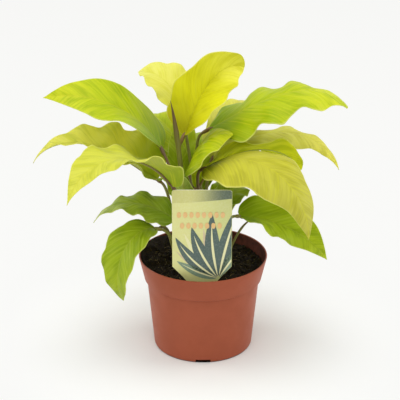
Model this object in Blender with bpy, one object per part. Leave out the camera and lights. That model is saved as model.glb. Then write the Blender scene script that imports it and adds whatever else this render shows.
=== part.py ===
"""Potted calathea: a clump of wavy yellow-green leaves in a terracotta-coloured nursery pot.

The plant grows from a rhizome in the soil. Each leaf is a blade carried on its own stalk.
The origin is the middle of the pot's underside, +Z is up and the label faces -Y.
Sizes below are in millimetres and degrees, and become metres when the meshes are built.
"""
import math
from dataclasses import dataclass

import bmesh
import bpy
import numpy as np
from mathutils import Matrix

MM = 0.001
GAP = 0.3                      # clearance between two pieces that touch

# Pot: 12 cm nursery pot, thin moulded plastic
POT_HEIGHT = 91.0
RIM_RADIUS = 60.0
COLLAR_FOOT_RADIUS = 55.3      # collar, just above the step
COLLAR_HEIGHT = 21.0
STEP_HEIGHT = 5.0              # sloping step between the collar and the body
BODY_TOP_RADIUS = 52.4
BASE_RADIUS = 46.3
BASE_CORNER = 2.6              # radius of the rounded lower edge
POT_WALL = 1.3
POT_FLOOR_HEIGHT = 4.4         # underside of the floor above the ground
FOOT_RING_WIDTH = 6.0
CENTRE_PAD_RADIUS = 12.0
POT_SEGMENTS = 60
NOTCH_COUNT = 3
NOTCH_WIDTH = 14.0
NOTCH_HEIGHT = 3.2
DRAIN_HOLE_COUNT = 8
DRAIN_HOLE_RADIUS = 3.5
DRAIN_HOLE_RING = 27.0
WALL_STEP_TOP = POT_HEIGHT - COLLAR_HEIGHT
WALL_STEP_BOTTOM = WALL_STEP_TOP - STEP_HEIGHT
INNER_CORNER_HEIGHT = 10.0     # the inner wall rounds into the floor below this

# Soil
SOIL_TOP = 80.0
SOIL_HEAP = 11.5               # height of the heap against the wall at the back left
SOIL_HEAP_AZIMUTH = 160.0
SOIL_HEAP_SPREAD = 36.0        # how far the heap reaches round the wall
SOIL_UNEVENNESS = 1.3
SOIL_SEGMENTS = 40

# Rhizome: the flat-topped crown that the stalks grow from
RHIZOME_RADIUS = 26.0
RHIZOME_TOP = 82.0
RHIZOME_DEPTH = 14.0
RHIZOME_SHOULDER = 3.0

# Plant label: card with a pointed stake
LABEL_WIDTH = 55.0
LABEL_TOP = 177.0
LABEL_CENTRE_X = -0.5
LABEL_Y = -46.0                # at the rim's height
LABEL_LEAN = 3.0               # the card leans outwards by this angle
LABEL_THICKNESS = 0.8
LABEL_CORNER = 2.5
CHAMFER_TOP = 100.0
CHAMFER_BOTTOM = 89.0
STAKE_SHOULDER_WIDTH = 34.0
STAKE_WIDTH = 12.0
STAKE_TOP = 74.0
STAKE_TIP = 48.0

# Leaves
BLADE_THICKNESS = 0.8
BLADE_START = 0.012            # the blade's first and last section, as parts of its length
BLADE_END = 0.990
BLADE_STATIONS = 14
BLADE_HALF_COLUMNS = 2
TIP_POWER = 0.6                # how slowly the outline narrows towards the tip
STEM_ROUNDNESS = 2             # bevel resolution of a stem's round section: eight sides
STALK_POINTS = 8
STALK_RADIUS = 2.0
FOOT_LENGTH = 1.5              # the upright start of each stalk
STALK_NECK = 0.72              # the neck's radius as a part of the stalk's
PULVINUS_RADIUS = 2.3          # swollen joint between stalk and blade


@dataclass(frozen=True)
class Leaf:
    """One leaf: where its blade starts, how the blade runs and how it is shaped."""

    name: str
    base: tuple                # where the blade starts
    heading: float             # compass direction of the blade, 0 = +X, 90 = +Y
    rise: float                # slope of the blade where it starts
    droop: float               # how far that slope falls along the blade
    length: float
    width: float
    foot: tuple                # radius and azimuth of the stalk's foot on the rhizome
    turn: float = 0.0          # how far the heading swings along the blade
    bend: float = 1.3          # 1 = droops evenly, more = droops near the tip
    roll: float = 0.0          # tilt about the midrib, and how it grows along the blade
    twist: float = 0.0
    fold: float = 12.0         # the halves rise from the midrib by this angle
    cup: float = 0.1           # how far the halves turn down again at the margin
    belly: float = 0.39        # where the blade is widest
    ruffle: float = 2.3        # height of the margin's waves
    ripple: float = 0.04       # the same waves in the outline, as a part of the width
    waves: float = 3.7
    phases: tuple = (0.0, 0.5)
    stiffness: float = 0.8     # how far the stalk keeps its direction at each end
    lean: float = 10.0         # the stalk's tilt from upright at its foot
    pulvinus: float = 9.0      # length of the swollen joint
    opening: float = 0.6       # below 1 the outline opens bluntly at the base


# The blade shapes in the first fifteen rows, up to back_right, and front_fold's phases were not
# chosen by hand: a least-squares fit of the blades' outlines gave them. See report.md.
LEAVES = (
    Leaf("left_top", base=(-39, -1, 199), heading=139, turn=69, rise=58, droop=59, bend=0.64,
         length=126, width=69, roll=-37, twist=101, fold=8, cup=0.06, belly=0.34, opening=0.46,
         ruffle=1.7, ripple=0.0, waves=2.2, phases=(0.3, 0.77), foot=(13, 163)),
    Leaf("left_mid", base=(-43, 15, 160), heading=177, turn=-9, rise=36, droop=100, bend=2.14,
         length=136, width=68, roll=4, twist=7, fold=20, cup=-0.1, belly=0.3, opening=0.23,
         ruffle=4.0, ripple=0.05, waves=5.4, phases=(0.89, 0.76), foot=(21, 184), pulvinus=5.0,
         stiffness=0.5, lean=24),
    Leaf("left_front", base=(-28, -44, 179), heading=-181, turn=75, rise=66, droop=106, bend=0.76,
         length=137, width=74, roll=-29, twist=51, fold=3, cup=-0.12, belly=0.3, opening=0.42,
         ruffle=2.6, ripple=0.0, waves=5.0, phases=(0.42, 0.33), foot=(20, 228), stiffness=0.7),
    Leaf("left_low", base=(-26, -15, 133), heading=173, turn=22, rise=34, droop=95, bend=1.67,
         length=86, width=42, roll=30, twist=-51, fold=7, cup=0.17, belly=0.35, ruffle=2.2,
         ripple=0.01, waves=4.3, phases=(0.22, 0.28), foot=(23, 205)),
    Leaf("left_bottom", base=(-44, -29, 130), heading=-139, turn=15, rise=28, droop=151, bend=0.84,
         length=95, width=41, roll=16, twist=-35, cup=0.03, belly=0.45, ruffle=1.0, ripple=0.05,
         waves=4.3, phases=(0.88, 0.55), foot=(24, 222)),
    Leaf("top_front", base=(-17, -6, 213), heading=28, turn=10, rise=65, droop=102, bend=2.6,
         length=96, width=52, roll=-21, twist=-53, fold=30, cup=-0.18, belly=0.42, opening=0.59,
         ruffle=1.9, ripple=0.06, waves=3.8, phases=(0.67, 0.53), foot=(5, 190), stiffness=0.35),
    Leaf("top_back", base=(-20, 17, 224), heading=121, turn=27, rise=64, droop=81, bend=1.21,
         length=68, width=50, roll=-8, twist=21, fold=13, cup=-0.03, belly=0.43, ruffle=1.9,
         ripple=0.0, waves=3.5, phases=(0.62, 0.87), foot=(8, 114)),
    Leaf("right_top", base=(7, 14, 211), heading=-14, turn=25, rise=34, droop=88, bend=2.6,
         length=142, width=61, roll=-23, twist=26, fold=2, cup=0.28, belly=0.55, opening=0.32,
         ruffle=3.2, ripple=0.14, phases=(0.71, 0.5), foot=(8, 8), stiffness=0.5),
    Leaf("right_back", base=(33, 45, 185.1), heading=13, turn=-36, rise=20, droop=89, bend=1.55,
         length=113, width=45, roll=8, twist=-31, fold=7, cup=0.4, belly=0.34, opening=0.2,
         ruffle=2.9, ripple=0.0, waves=3.9, phases=(0.32, 0.29), foot=(21, 22), stiffness=0.5),
    Leaf("right_mid", base=(-5, 3.3, 157.7), heading=-17, turn=44, rise=63, droop=127, bend=1.27,
         length=125, width=49, roll=21, twist=17, fold=14, cup=0.05, belly=0.42, ruffle=4.0,
         ripple=0.01, waves=3.3, phases=(0.13, 0.62), foot=(9, 290), pulvinus=6.0, stiffness=0.5),
    Leaf("right_front", base=(2, -23, 187), heading=-36, turn=-8, rise=35, droop=126, bend=1.37,
         length=154, width=66, roll=-8, twist=-3, fold=2, cup=0.29, belly=0.35, ruffle=1.0,
         ripple=0.07, waves=3.3, phases=(0.42, 0.14), foot=(16, 314), pulvinus=6.0, stiffness=0.5),
    Leaf("right_low", base=(34, -11, 134), heading=12, turn=-75, rise=-4, droop=19, bend=0.6,
         length=98, width=52, roll=-1, twist=-42, fold=18, cup=-0.01, belly=0.35, opening=0.42,
         ruffle=2.6, ripple=0.01, waves=3.2, phases=(0.61, 0.32), foot=(24, 340), pulvinus=4.0,
         lean=18),
    Leaf("centre", base=(-17, -22, 178), heading=8, turn=-6, rise=68, droop=93, bend=2.49,
         length=67, width=47, roll=18, twist=-30, fold=3, cup=0.3, belly=0.46, ruffle=1.5,
         ripple=0.01, waves=2.1, phases=(0.42, 0.87), foot=(17, 288), pulvinus=6.0, stiffness=0.4),
    Leaf("right_inner", base=(19, 5, 137), heading=56, turn=5, rise=40, droop=92, bend=1.6,
         length=45, width=32, twist=-28, fold=15, ripple=0.01, waves=3.5, phases=(0.2, 0.85),
         foot=(21, 0)),
    Leaf("back_right", base=(9, 27, 177), heading=47, turn=24, rise=66, droop=111, bend=1.05,
         length=113, width=42, twist=1, fold=13, cup=0.08, opening=0.51, ruffle=1.5, ripple=0.05,
         phases=(0.73, 0.8), foot=(14, 70)),
    Leaf("back_mid", base=(-4, 21, 144), heading=92, turn=8, rise=62, droop=118, bend=1.2,
         length=116, width=42, phases=(0.7, 0.6), foot=(19, 95)),
    Leaf("back_left", base=(-14, 21, 168), heading=124, turn=6, rise=64, droop=118, bend=1.2,
         length=112, width=46, roll=-6, phases=(0.5, 0.8), foot=(20, 140)),
    Leaf("inner_left", base=(-22, 8, 160), heading=115, rise=82, droop=20, length=48, width=22,
         ruffle=1.2, waves=2.5, phases=(0.3, 0.7), foot=(15, 140), stiffness=0.5),
    Leaf("front_fold", base=(-17, -31, 154), heading=-105, rise=84, droop=0, length=29, width=19,
         roll=4, twist=4, fold=6, belly=0.5, opening=0.5, ruffle=0.8, waves=2.0,
         phases=(0.94, 0.67), foot=(21, 270), stiffness=0.5),
    Leaf("low_back_left", base=(-8, 22, 118), heading=108, turn=6, rise=50, droop=100, length=84,
         width=36, ruffle=2.0, waves=3.5, phases=(0.1, 0.6), foot=(23, 112), stiffness=0.4),
    Leaf("low_back_right", base=(14, 21, 114), heading=68, turn=-4, rise=60, droop=100, length=80,
         width=32, ruffle=2.0, waves=3.5, phases=(0.6, 0.2), foot=(23, 68), stiffness=0.4),
)


@dataclass(frozen=True)
class Shoot:
    """A bare shoot: a slender tapering stem along a smooth curve."""

    name: str
    foot: tuple                # radius and azimuth on the rhizome
    top: tuple
    end_rise: float            # slope and compass direction at its top
    end_heading: float
    radius: float
    swell: float               # largest radius, and how far up the shoot it lies
    swell_at: float
    tip_radius: float
    stiffness: float = 0.8
    lean: float = 8.0


SHOOTS = (
    Shoot("furled_leaf", foot=(13, 212), top=(-29, -18, 249), end_rise=78, end_heading=190,
          radius=1.6, swell=2.4, swell_at=0.8, tip_radius=0.5),
    Shoot("hooked_shoot", foot=(23, 194), top=(-42, -22, 126), end_rise=-35, end_heading=200,
          radius=1.5, swell=1.6, swell_at=0.7, tip_radius=1.0, stiffness=1.0, lean=30),
    Shoot("right_shoot", foot=(24, 8), top=(45, 8, 122), end_rise=25, end_heading=0,
          radius=1.0, swell=1.2, swell_at=0.7, tip_radius=0.6, lean=6),
)

# Materials: base colour, roughness
FINISHES = {
    "pot": ((0.36, 0.085, 0.045), 0.45),
    "soil": ((0.018, 0.011, 0.008), 0.95),
    "rhizome": ((0.075, 0.05, 0.022), 0.8),
    "label": ((0.62, 0.60, 0.24), 0.35),
    "blade": ((0.42, 0.52, 0.03), 0.4),
    "stalk": ((0.16, 0.10, 0.045), 0.5),
    "young": ((0.22, 0.17, 0.05), 0.5),
}


# ---------------------------------------------------------------- helpers

def clear_scene():
    """Remove every object that the scene holds."""
    for thing in list(bpy.data.objects):
        bpy.data.objects.remove(thing, do_unlink=True)


def add_object(name, data, root, finish):
    """Link an object, parent it to the root and give it a material of its own.

    Args:
        name: The object's name, which is its node's name.
        data: Its mesh or curve.
        root: The empty that carries the plant.
        finish: A key of FINISHES.
    """
    thing = bpy.data.objects.new(name, data)
    bpy.context.scene.collection.objects.link(thing)
    thing.parent = root
    colour, roughness = FINISHES[finish]
    material = bpy.data.materials.new(name)
    material.use_nodes = True
    shader = material.node_tree.nodes["Principled BSDF"]
    shader.inputs["Base Color"].default_value = (*colour, 1.0)
    shader.inputs["Roughness"].default_value = roughness
    data.materials.append(material)
    return thing


def mesh_from(bm, name, smooth_angle=40.0):
    """Turn a bmesh in millimetres into a smooth-shaded mesh in metres."""
    bmesh.ops.recalc_face_normals(bm, faces=bm.faces[:])
    bmesh.ops.scale(bm, vec=(MM, MM, MM), verts=bm.verts[:])
    mesh = bpy.data.meshes.new(name)
    bm.to_mesh(mesh)
    bm.free()
    mesh.shade_smooth()
    mesh.set_sharp_from_angle(angle=math.radians(smooth_angle))
    return mesh


def turned(profile, segments):
    """Spin a profile of (radius, height) points, from axis to axis, into a closed body."""
    bm = bmesh.new()
    verts = [bm.verts.new((radius, 0.0, height)) for radius, height in profile]
    edges = [bm.edges.new(pair) for pair in zip(verts, verts[1:])]
    bmesh.ops.spin(bm, geom=verts + edges, cent=(0, 0, 0), axis=(0, 0, 1),
                   angle=2 * math.pi, steps=segments, use_merge=True)
    bmesh.ops.remove_doubles(bm, verts=bm.verts[:], dist=0.001)
    return bm


def arc(centre, radius, start, end, steps):
    """Points of an arc in a profile, from one angle to another, in degrees."""
    return [(centre[0] + radius * math.cos(math.radians(angle)),
             centre[1] + radius * math.sin(math.radians(angle)))
            for angle in np.linspace(start, end, steps)]


def cutter(name, bm):
    """Make a hidden wire-frame object that a Boolean uses as its tool."""
    thing = bpy.data.objects.new(name, mesh_from(bm, name))
    bpy.context.scene.collection.objects.link(thing)
    thing.hide_render = True
    thing.display_type = 'WIRE'
    return thing


def cut(thing, tool):
    """Subtract a tool from an object with an exact Boolean."""
    boolean = thing.modifiers.new(tool.name, 'BOOLEAN')
    boolean.operation = 'DIFFERENCE'
    boolean.solver = 'EXACT'
    boolean.object = tool


# ---------------------------------------------------------------- pot, soil, rhizome, label

def inner_wall(height):
    """Radius of the pot's inner wall at a height."""
    heights = (0.0, WALL_STEP_BOTTOM, WALL_STEP_TOP, POT_HEIGHT)
    radii = (BASE_RADIUS, BODY_TOP_RADIUS, COLLAR_FOOT_RADIUS, RIM_RADIUS)
    return float(np.interp(height, heights, radii)) - POT_WALL


def build_pot(root):
    """The pot: foot ring with drain notches, raised floor, body, step, collar and rim."""
    corner = BASE_CORNER
    lip = 1.0
    floor_top = POT_FLOOR_HEIGHT + POT_WALL
    ring_inner = BASE_RADIUS - corner - FOOT_RING_WIDTH
    profile = [(0.0, 0.0), (CENTRE_PAD_RADIUS, 0.0), (CENTRE_PAD_RADIUS + 1, POT_FLOOR_HEIGHT),
               (ring_inner, POT_FLOOR_HEIGHT), (ring_inner + 1, 0.0)]
    profile += arc((BASE_RADIUS - corner, corner), corner, -90, -4, 5)
    profile += [(BODY_TOP_RADIUS, WALL_STEP_BOTTOM), (BODY_TOP_RADIUS + 0.7, WALL_STEP_BOTTOM + 1.2),
                (COLLAR_FOOT_RADIUS - 0.6, WALL_STEP_TOP - 1.6), (COLLAR_FOOT_RADIUS, WALL_STEP_TOP),
                (RIM_RADIUS, POT_HEIGHT - lip), (RIM_RADIUS - 0.4, POT_HEIGHT),
                (RIM_RADIUS - POT_WALL, POT_HEIGHT - 0.2)]
    profile += [(inner_wall(height), height)
                for height in (WALL_STEP_TOP, WALL_STEP_BOTTOM, INNER_CORNER_HEIGHT)]
    profile += [(inner_wall(floor_top) - 2.5, floor_top), (0.0, floor_top)]
    pot = add_object("pot", mesh_from(turned(profile, POT_SEGMENTS), "pot"), root, "pot")

    notches = bmesh.new()
    for index in range(NOTCH_COUNT):
        azimuth = math.radians(-90 + 360 / NOTCH_COUNT * index)
        box = bmesh.ops.create_cube(notches, size=1.0)["verts"]
        bmesh.ops.scale(notches, verts=box, vec=(3 * FOOT_RING_WIDTH, NOTCH_WIDTH, 2 * NOTCH_HEIGHT))
        bmesh.ops.translate(notches, verts=box, vec=(BASE_RADIUS, 0, 0))
        bmesh.ops.rotate(notches, verts=box, matrix=Matrix.Rotation(azimuth, 3, 'Z'))
    holes = bmesh.new()
    for index in range(DRAIN_HOLE_COUNT):
        azimuth = math.radians(-90 + 360 / DRAIN_HOLE_COUNT * index)
        direction = np.array((math.cos(azimuth), math.sin(azimuth), 0.0))
        hole = bmesh.ops.create_cone(holes, cap_ends=True, segments=12, radius1=DRAIN_HOLE_RADIUS,
                                     radius2=DRAIN_HOLE_RADIUS, depth=8.0)["verts"]
        bmesh.ops.translate(holes, verts=hole, vec=DRAIN_HOLE_RING * direction + (0, 0, floor_top))
    cut(pot, cutter("notch_cutter", notches))
    cut(pot, cutter("drain_hole_cutter", holes))
    return pot


def soil_height(x, y):
    """Height of the soil's surface: level, a little uneven, heaped at the back left."""
    azimuth = math.degrees(math.atan2(y, x))
    off = (azimuth - SOIL_HEAP_AZIMUTH + 180) % 360 - 180
    reach = math.hypot(x, y) / RIM_RADIUS
    heap = SOIL_HEAP * math.exp(-(off / SOIL_HEAP_SPREAD) ** 2) * max(0.0, reach - 0.55) / 0.4
    bumps = math.sin(x / 6.5 + 1.0) * math.cos(y / 7.5) + 0.5 * math.sin((x - y) / 4.0)
    return SOIL_TOP + heap + SOIL_UNEVENNESS * bumps * 0.6


def build_soil(root):
    """The soil: fills the pot, with a pocket for the rhizome and a slot for the stake."""
    bottom = POT_FLOOR_HEIGHT + POT_WALL + GAP
    side_gap = GAP + 0.1                    # a little more, for the flats of the round sides
    pocket = RHIZOME_RADIUS + side_gap
    pocket_floor = RHIZOME_TOP - RHIZOME_DEPTH - GAP
    profile = [(0.0, bottom), (inner_wall(bottom) - 3.2, bottom)]
    profile += [(inner_wall(height) - side_gap, height)
                for height in (INNER_CORNER_HEIGHT + 0.5, WALL_STEP_BOTTOM, WALL_STEP_TOP)]
    edge = inner_wall(SOIL_TOP) - side_gap
    profile += [(radius, SOIL_TOP) for radius in np.linspace(edge, pocket, 5)]
    profile += [(pocket, pocket_floor), (0.0, pocket_floor)]
    bm = turned(profile, SOIL_SEGMENTS)
    for vert in bm.verts:
        if abs(vert.co.z - SOIL_TOP) < 0.01:
            vert.co.z = soil_height(vert.co.x, vert.co.y)
            limit = inner_wall(vert.co.z) - side_gap
            reach = math.hypot(vert.co.x, vert.co.y)
            if reach > edge - 0.1:
                vert.co.x *= limit / reach
                vert.co.y *= limit / reach
    soil = add_object("soil", mesh_from(bm, "soil"), root, "soil")
    cut(soil, cutter("stake_slot_cutter", label_plate(GAP)))
    return soil


def build_rhizome(root):
    """The rhizome: a low round crown with a flat top, set in the soil's pocket."""
    shoulder = RHIZOME_SHOULDER
    profile = [(0.0, RHIZOME_TOP - RHIZOME_DEPTH), (RHIZOME_RADIUS, RHIZOME_TOP - RHIZOME_DEPTH)]
    profile += arc((RHIZOME_RADIUS - shoulder, RHIZOME_TOP - shoulder), shoulder, 0, 90, 4)
    profile += [(0.0, RHIZOME_TOP)]
    mesh = mesh_from(turned(profile, 32), "rhizome")
    return add_object("rhizome", mesh, root, "rhizome")


def label_plate(grow=0.0):
    """The label's card and stake in one plate, larger all round by `grow`."""
    half = LABEL_WIDTH / 2 + grow
    top = LABEL_TOP + grow
    corner = LABEL_CORNER
    right = [(STAKE_WIDTH / 4 + grow, STAKE_TIP - grow), (STAKE_WIDTH / 2 + grow, STAKE_TIP + 8),
             (STAKE_WIDTH / 2 + grow, STAKE_TOP), (STAKE_SHOULDER_WIDTH / 2 + grow, CHAMFER_BOTTOM),
             (half, CHAMFER_TOP)]
    right += arc((half - corner, top - corner), corner, 0, 90, 4)
    outline = right + [(-x, z) for x, z in reversed(right)]
    bm = bmesh.new()
    depth = LABEL_THICKNESS / 2 + grow
    lean = math.tan(math.radians(LABEL_LEAN))
    verts = [bm.verts.new((LABEL_CENTRE_X + x, LABEL_Y - depth - lean * (z - CHAMFER_BOTTOM), z))
             for x, z in outline]
    face = bm.faces.new(verts)
    extruded = bmesh.ops.extrude_face_region(bm, geom=[face])["geom"]
    moved = [item for item in extruded if isinstance(item, bmesh.types.BMVert)]
    bmesh.ops.translate(bm, verts=moved, vec=(0, 2 * depth, 0))
    return bm


def build_label(root):
    """The plant label: a card with a stake that stands in the soil's slot."""
    return add_object("plant_label", mesh_from(label_plate(), "plant_label"), root, "label")


# ---------------------------------------------------------------- leaves

def midrib_frames(leaf, stations):
    """Points and directions along a blade's midrib.

    Returns:
        Points, tangents, side directions and normals, one row per station.
    """
    heading = np.radians(leaf.heading + leaf.turn * stations)
    slope = np.radians(leaf.rise - leaf.droop * stations ** leaf.bend)
    tangent = np.column_stack((np.cos(slope) * np.cos(heading), np.cos(slope) * np.sin(heading),
                               np.sin(slope)))
    steps = np.diff(stations)[:, None] * leaf.length * (tangent[1:] + tangent[:-1]) / 2
    points = np.array(leaf.base) + np.vstack((np.zeros(3), np.cumsum(steps, axis=0)))
    level = np.column_stack((np.sin(heading), -np.cos(heading), np.zeros_like(heading)))
    upright = np.cross(level, tangent)
    roll = np.radians(leaf.roll + leaf.twist * stations)[:, None]
    side = np.cos(roll) * level + np.sin(roll) * upright
    normal = np.cos(roll) * upright - np.sin(roll) * level
    return points, tangent, side, normal


def blade_grid(leaf):
    """Points of a blade's middle surface, as rows of stations by columns across."""
    stations = np.linspace(BLADE_START, BLADE_END, BLADE_STATIONS)
    points, _, side, normal = midrib_frames(leaf, stations)
    across = np.linspace(-1, 1, 2 * BLADE_HALF_COLUMNS + 1)
    tip_power = TIP_POWER * (1 - leaf.belly) / leaf.belly
    opening = (stations / leaf.belly) ** leaf.opening
    closing = ((1 - stations) / (1 - leaf.belly)) ** tip_power
    half_width = leaf.width / 2 * opening * closing
    phase = np.where(across < 0, leaf.phases[0], leaf.phases[1])
    angle = 2 * np.pi * (leaf.waves * stations[:, None] + phase[None, :])
    reach = half_width[:, None] * across * np.where(across == 0, 1, 1 + leaf.ripple * np.sin(angle))
    height = leaf.ruffle * np.minimum(1, half_width / (0.4 * leaf.width))[:, None] ** 1.5
    rise = (np.abs(reach) * math.sin(math.radians(leaf.fold))
            - leaf.cup * np.abs(reach * across)
            + height * np.cos(angle) * np.abs(across) ** 1.5)
    return (points[:, None, :] + side[:, None, :] * (reach * math.cos(math.radians(leaf.fold)))[..., None]
            + normal[:, None, :] * rise[..., None])


def build_blade(leaf, root):
    """A leaf's blade: its middle surface, thickened evenly to both sides."""
    grid = blade_grid(leaf)
    bm = bmesh.new()
    rows = [[bm.verts.new(point) for point in row] for row in grid]
    for row, following in zip(rows, rows[1:]):
        for index in range(len(row) - 1):
            bm.faces.new((row[index], following[index], following[index + 1], row[index + 1]))
    bmesh.ops.scale(bm, vec=(MM, MM, MM), verts=bm.verts[:])
    name = f"leaf_{leaf.name}_blade"
    mesh = bpy.data.meshes.new(name)
    bm.to_mesh(mesh)
    bm.free()
    mesh.shade_smooth()
    blade = add_object(name, mesh, root, "blade")
    thicken = blade.modifiers.new("thickness", 'SOLIDIFY')
    thicken.thickness = BLADE_THICKNESS * MM
    thicken.offset = 0.0
    return blade


def foot_point(foot):
    """Point just above the rhizome's top, from a radius and an azimuth."""
    radius, azimuth = foot[0], math.radians(foot[1])
    return np.array((radius * math.cos(azimuth), radius * math.sin(azimuth), RHIZOME_TOP + GAP))


def smooth_path(start, start_tangent, end, end_tangent, stiffness, count):
    """Points of a smooth curve from start to end with the given end directions."""
    reach = np.linalg.norm(end - start) * stiffness
    u = np.linspace(0, 1, count)[:, None]
    return ((2 * u ** 3 - 3 * u ** 2 + 1) * start + (u ** 3 - 2 * u ** 2 + u) * reach * start_tangent
            + (3 * u ** 2 - 2 * u ** 3) * end + (u ** 3 - u ** 2) * reach * end_tangent)


def foot_direction(foot, lean):
    """Direction in which a stem leaves the rhizome: upright, leaning outwards by an angle."""
    azimuth, tilt = math.radians(foot[1]), math.radians(lean)
    return np.array((math.sin(tilt) * math.cos(azimuth), math.sin(tilt) * math.sin(azimuth),
                     math.cos(tilt)))


def stalk_path(leaf):
    """Points and radii of a leaf's stalk, with the pulvinus at its top."""
    tangent = midrib_frames(leaf, np.array((BLADE_START,)))[1]
    end = np.array(leaf.base) - tangent[0] * (GAP + 0.1)
    swollen = end - tangent[0] * leaf.pulvinus * np.array(((1.0,), (0.75,), (0.25,), (0.0,)))
    foot = foot_point(leaf.foot)
    collar = foot + (0, 0, FOOT_LENGTH)
    path = smooth_path(collar, foot_direction(leaf.foot, leaf.lean), swollen[0], tangent[0],
                       leaf.stiffness, STALK_POINTS)
    radii = STALK_RADIUS * np.linspace(1, STALK_NECK, STALK_POINTS)
    swelling = PULVINUS_RADIUS * np.array((1.0, 1.0, 0.8))
    return np.vstack((foot, path, swollen[1:])), np.hstack((STALK_RADIUS, radii, swelling))


def shoot_path(shoot):
    """Points and radii of a bare shoot."""
    slope, heading = math.radians(shoot.end_rise), math.radians(shoot.end_heading)
    end_tangent = np.array((math.cos(slope) * math.cos(heading),
                            math.cos(slope) * math.sin(heading), math.sin(slope)))
    foot = foot_point(shoot.foot)
    collar = foot + (0, 0, FOOT_LENGTH)
    path = smooth_path(collar, foot_direction(shoot.foot, shoot.lean), np.array(shoot.top, float),
                       end_tangent, shoot.stiffness, STALK_POINTS + 4)
    share = np.linspace(0, 1, len(path))
    radii = np.interp(share, (0, shoot.swell_at, 1), (shoot.radius, shoot.swell, shoot.tip_radius))
    return np.vstack((foot, path)), np.hstack((shoot.radius, radii))


def build_stem(name, path, radii, root, finish):
    """A round stem along a path: a bevelled curve with filled ends."""
    curve = bpy.data.curves.new(name, 'CURVE')
    curve.dimensions = '3D'
    curve.bevel_depth = MM
    curve.bevel_resolution = STEM_ROUNDNESS
    curve.use_fill_caps = True
    spline = curve.splines.new('POLY')
    spline.points.add(len(path) - 1)
    spline.use_smooth = True
    for point, position, radius in zip(spline.points, path, radii):
        point.co = (*(position * MM), 1.0)
        point.radius = radius
    return add_object(name, curve, root, finish)


def main():
    """Build the pot, soil, rhizome, label, shoots and leaves."""
    clear_scene()
    root = bpy.data.objects.new("calathea", None)
    bpy.context.scene.collection.objects.link(root)
    build_pot(root)
    build_soil(root)
    build_rhizome(root)
    build_label(root)
    for shoot in SHOOTS:
        build_stem(shoot.name, *shoot_path(shoot), root, "young")
    for leaf in LEAVES:
        build_stem(f"leaf_{leaf.name}_stalk", *stalk_path(leaf), root, "stalk")
        build_blade(leaf, root)


main()
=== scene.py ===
"""Potted calathea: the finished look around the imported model.

Wavy yellow-green leaves on brown stalks grow from peat in a terracotta-coloured nursery pot, and
a printed plant label stands at the front. Sizes are in millimetres and degrees and become metres
where a mesh gets its points. +Z is up and the label faces -Y.
"""
import logging
import math
from collections.abc import Callable
from dataclasses import dataclass
from enum import Enum

import bpy
import numpy as np
from mathutils import Matrix, Vector, noise


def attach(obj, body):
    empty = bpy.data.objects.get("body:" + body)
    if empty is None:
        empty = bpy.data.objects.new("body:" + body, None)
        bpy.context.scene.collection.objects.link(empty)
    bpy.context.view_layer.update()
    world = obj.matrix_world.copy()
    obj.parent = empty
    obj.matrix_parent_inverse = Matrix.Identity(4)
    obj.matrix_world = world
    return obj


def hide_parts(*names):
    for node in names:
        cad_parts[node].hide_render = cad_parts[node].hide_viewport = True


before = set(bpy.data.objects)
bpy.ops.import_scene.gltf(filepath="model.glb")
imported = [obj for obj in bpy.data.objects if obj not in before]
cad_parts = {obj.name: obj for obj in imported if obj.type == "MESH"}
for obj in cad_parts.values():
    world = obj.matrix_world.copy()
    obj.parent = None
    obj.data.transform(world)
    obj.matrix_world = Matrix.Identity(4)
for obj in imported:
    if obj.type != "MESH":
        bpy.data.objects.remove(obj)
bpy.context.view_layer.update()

MM = 0.001
ROOT = "root"

log = logging.getLogger("calathea")


# ---------------------------------------------------------------- materials: the shared tools

def linear(colour: str) -> tuple[float, float, float, float]:
    """Turn an sRGB hex colour into linear RGBA."""
    channels = [int(colour[place:place + 2], 16) / 255 for place in (1, 3, 5)]
    return (*[c / 12.92 if c <= 0.04045 else ((c + 0.055) / 1.055) ** 2.4 for c in channels], 1.0)


def add_node(tree: bpy.types.NodeTree, kind: str, inputs: dict | None = None, **settings
             ) -> bpy.types.Node:
    """Add a shader node with its settings and links.

    Args:
        tree: The node tree that gets the node.
        kind: The node's type.
        inputs: What each socket, by name or number, is linked to or set to.
        settings: The node's own settings.

    Returns:
        The new node.
    """
    node = tree.nodes.new(kind)
    for name, value in settings.items():
        setattr(node, name, value)
    for key, value in (inputs or {}).items():
        if isinstance(value, bpy.types.NodeSocket):
            tree.links.new(value, node.inputs[key])
        else:
            node.inputs[key].default_value = value
    return node


def material_named(name: str, build_surface: Callable[[bpy.types.NodeTree], bpy.types.Node]
                   ) -> bpy.types.Material:
    """Find a material by its name, or make it.

    Args:
        name: The material's name.
        build_surface: Builds its shader in a node tree and returns the last node.

    Returns:
        The material.
    """
    if name in bpy.data.materials:
        return bpy.data.materials[name]
    material = bpy.data.materials.new(name)
    material.use_nodes = True
    tree = material.node_tree
    tree.nodes.clear()
    surface = build_surface(tree).outputs[0]
    add_node(tree, "ShaderNodeOutputMaterial", inputs={"Surface": surface})
    return material


def tinted(tree: bpy.types.NodeTree, ground: str, *tints: tuple) -> bpy.types.NodeSocket:
    """Lay tints over a colour, each coming in smoothly while a value crosses a range.

    Args:
        tree: The node tree.
        ground: The colour below them.
        tints: For each its colour, the value, the range's two ends and the tint's share there.

    Returns:
        The colour's socket.
    """
    colour = linear(ground)
    for tint, value, low, high, share_low, share_high in tints:
        share = add_node(tree, "ShaderNodeMapRange", interpolation_type='SMOOTHSTEP', inputs={
            "Value": value, "From Min": low, "From Max": high,
            "To Min": share_low, "To Max": share_high}).outputs["Result"]
        colour = add_node(tree, "ShaderNodeMix", data_type='RGBA', clamp_factor=True, inputs={
            0: share, 6: colour, 7: linear(tint)}).outputs[2]
    return colour


# ---------------------------------------------------------------- finishes

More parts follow.
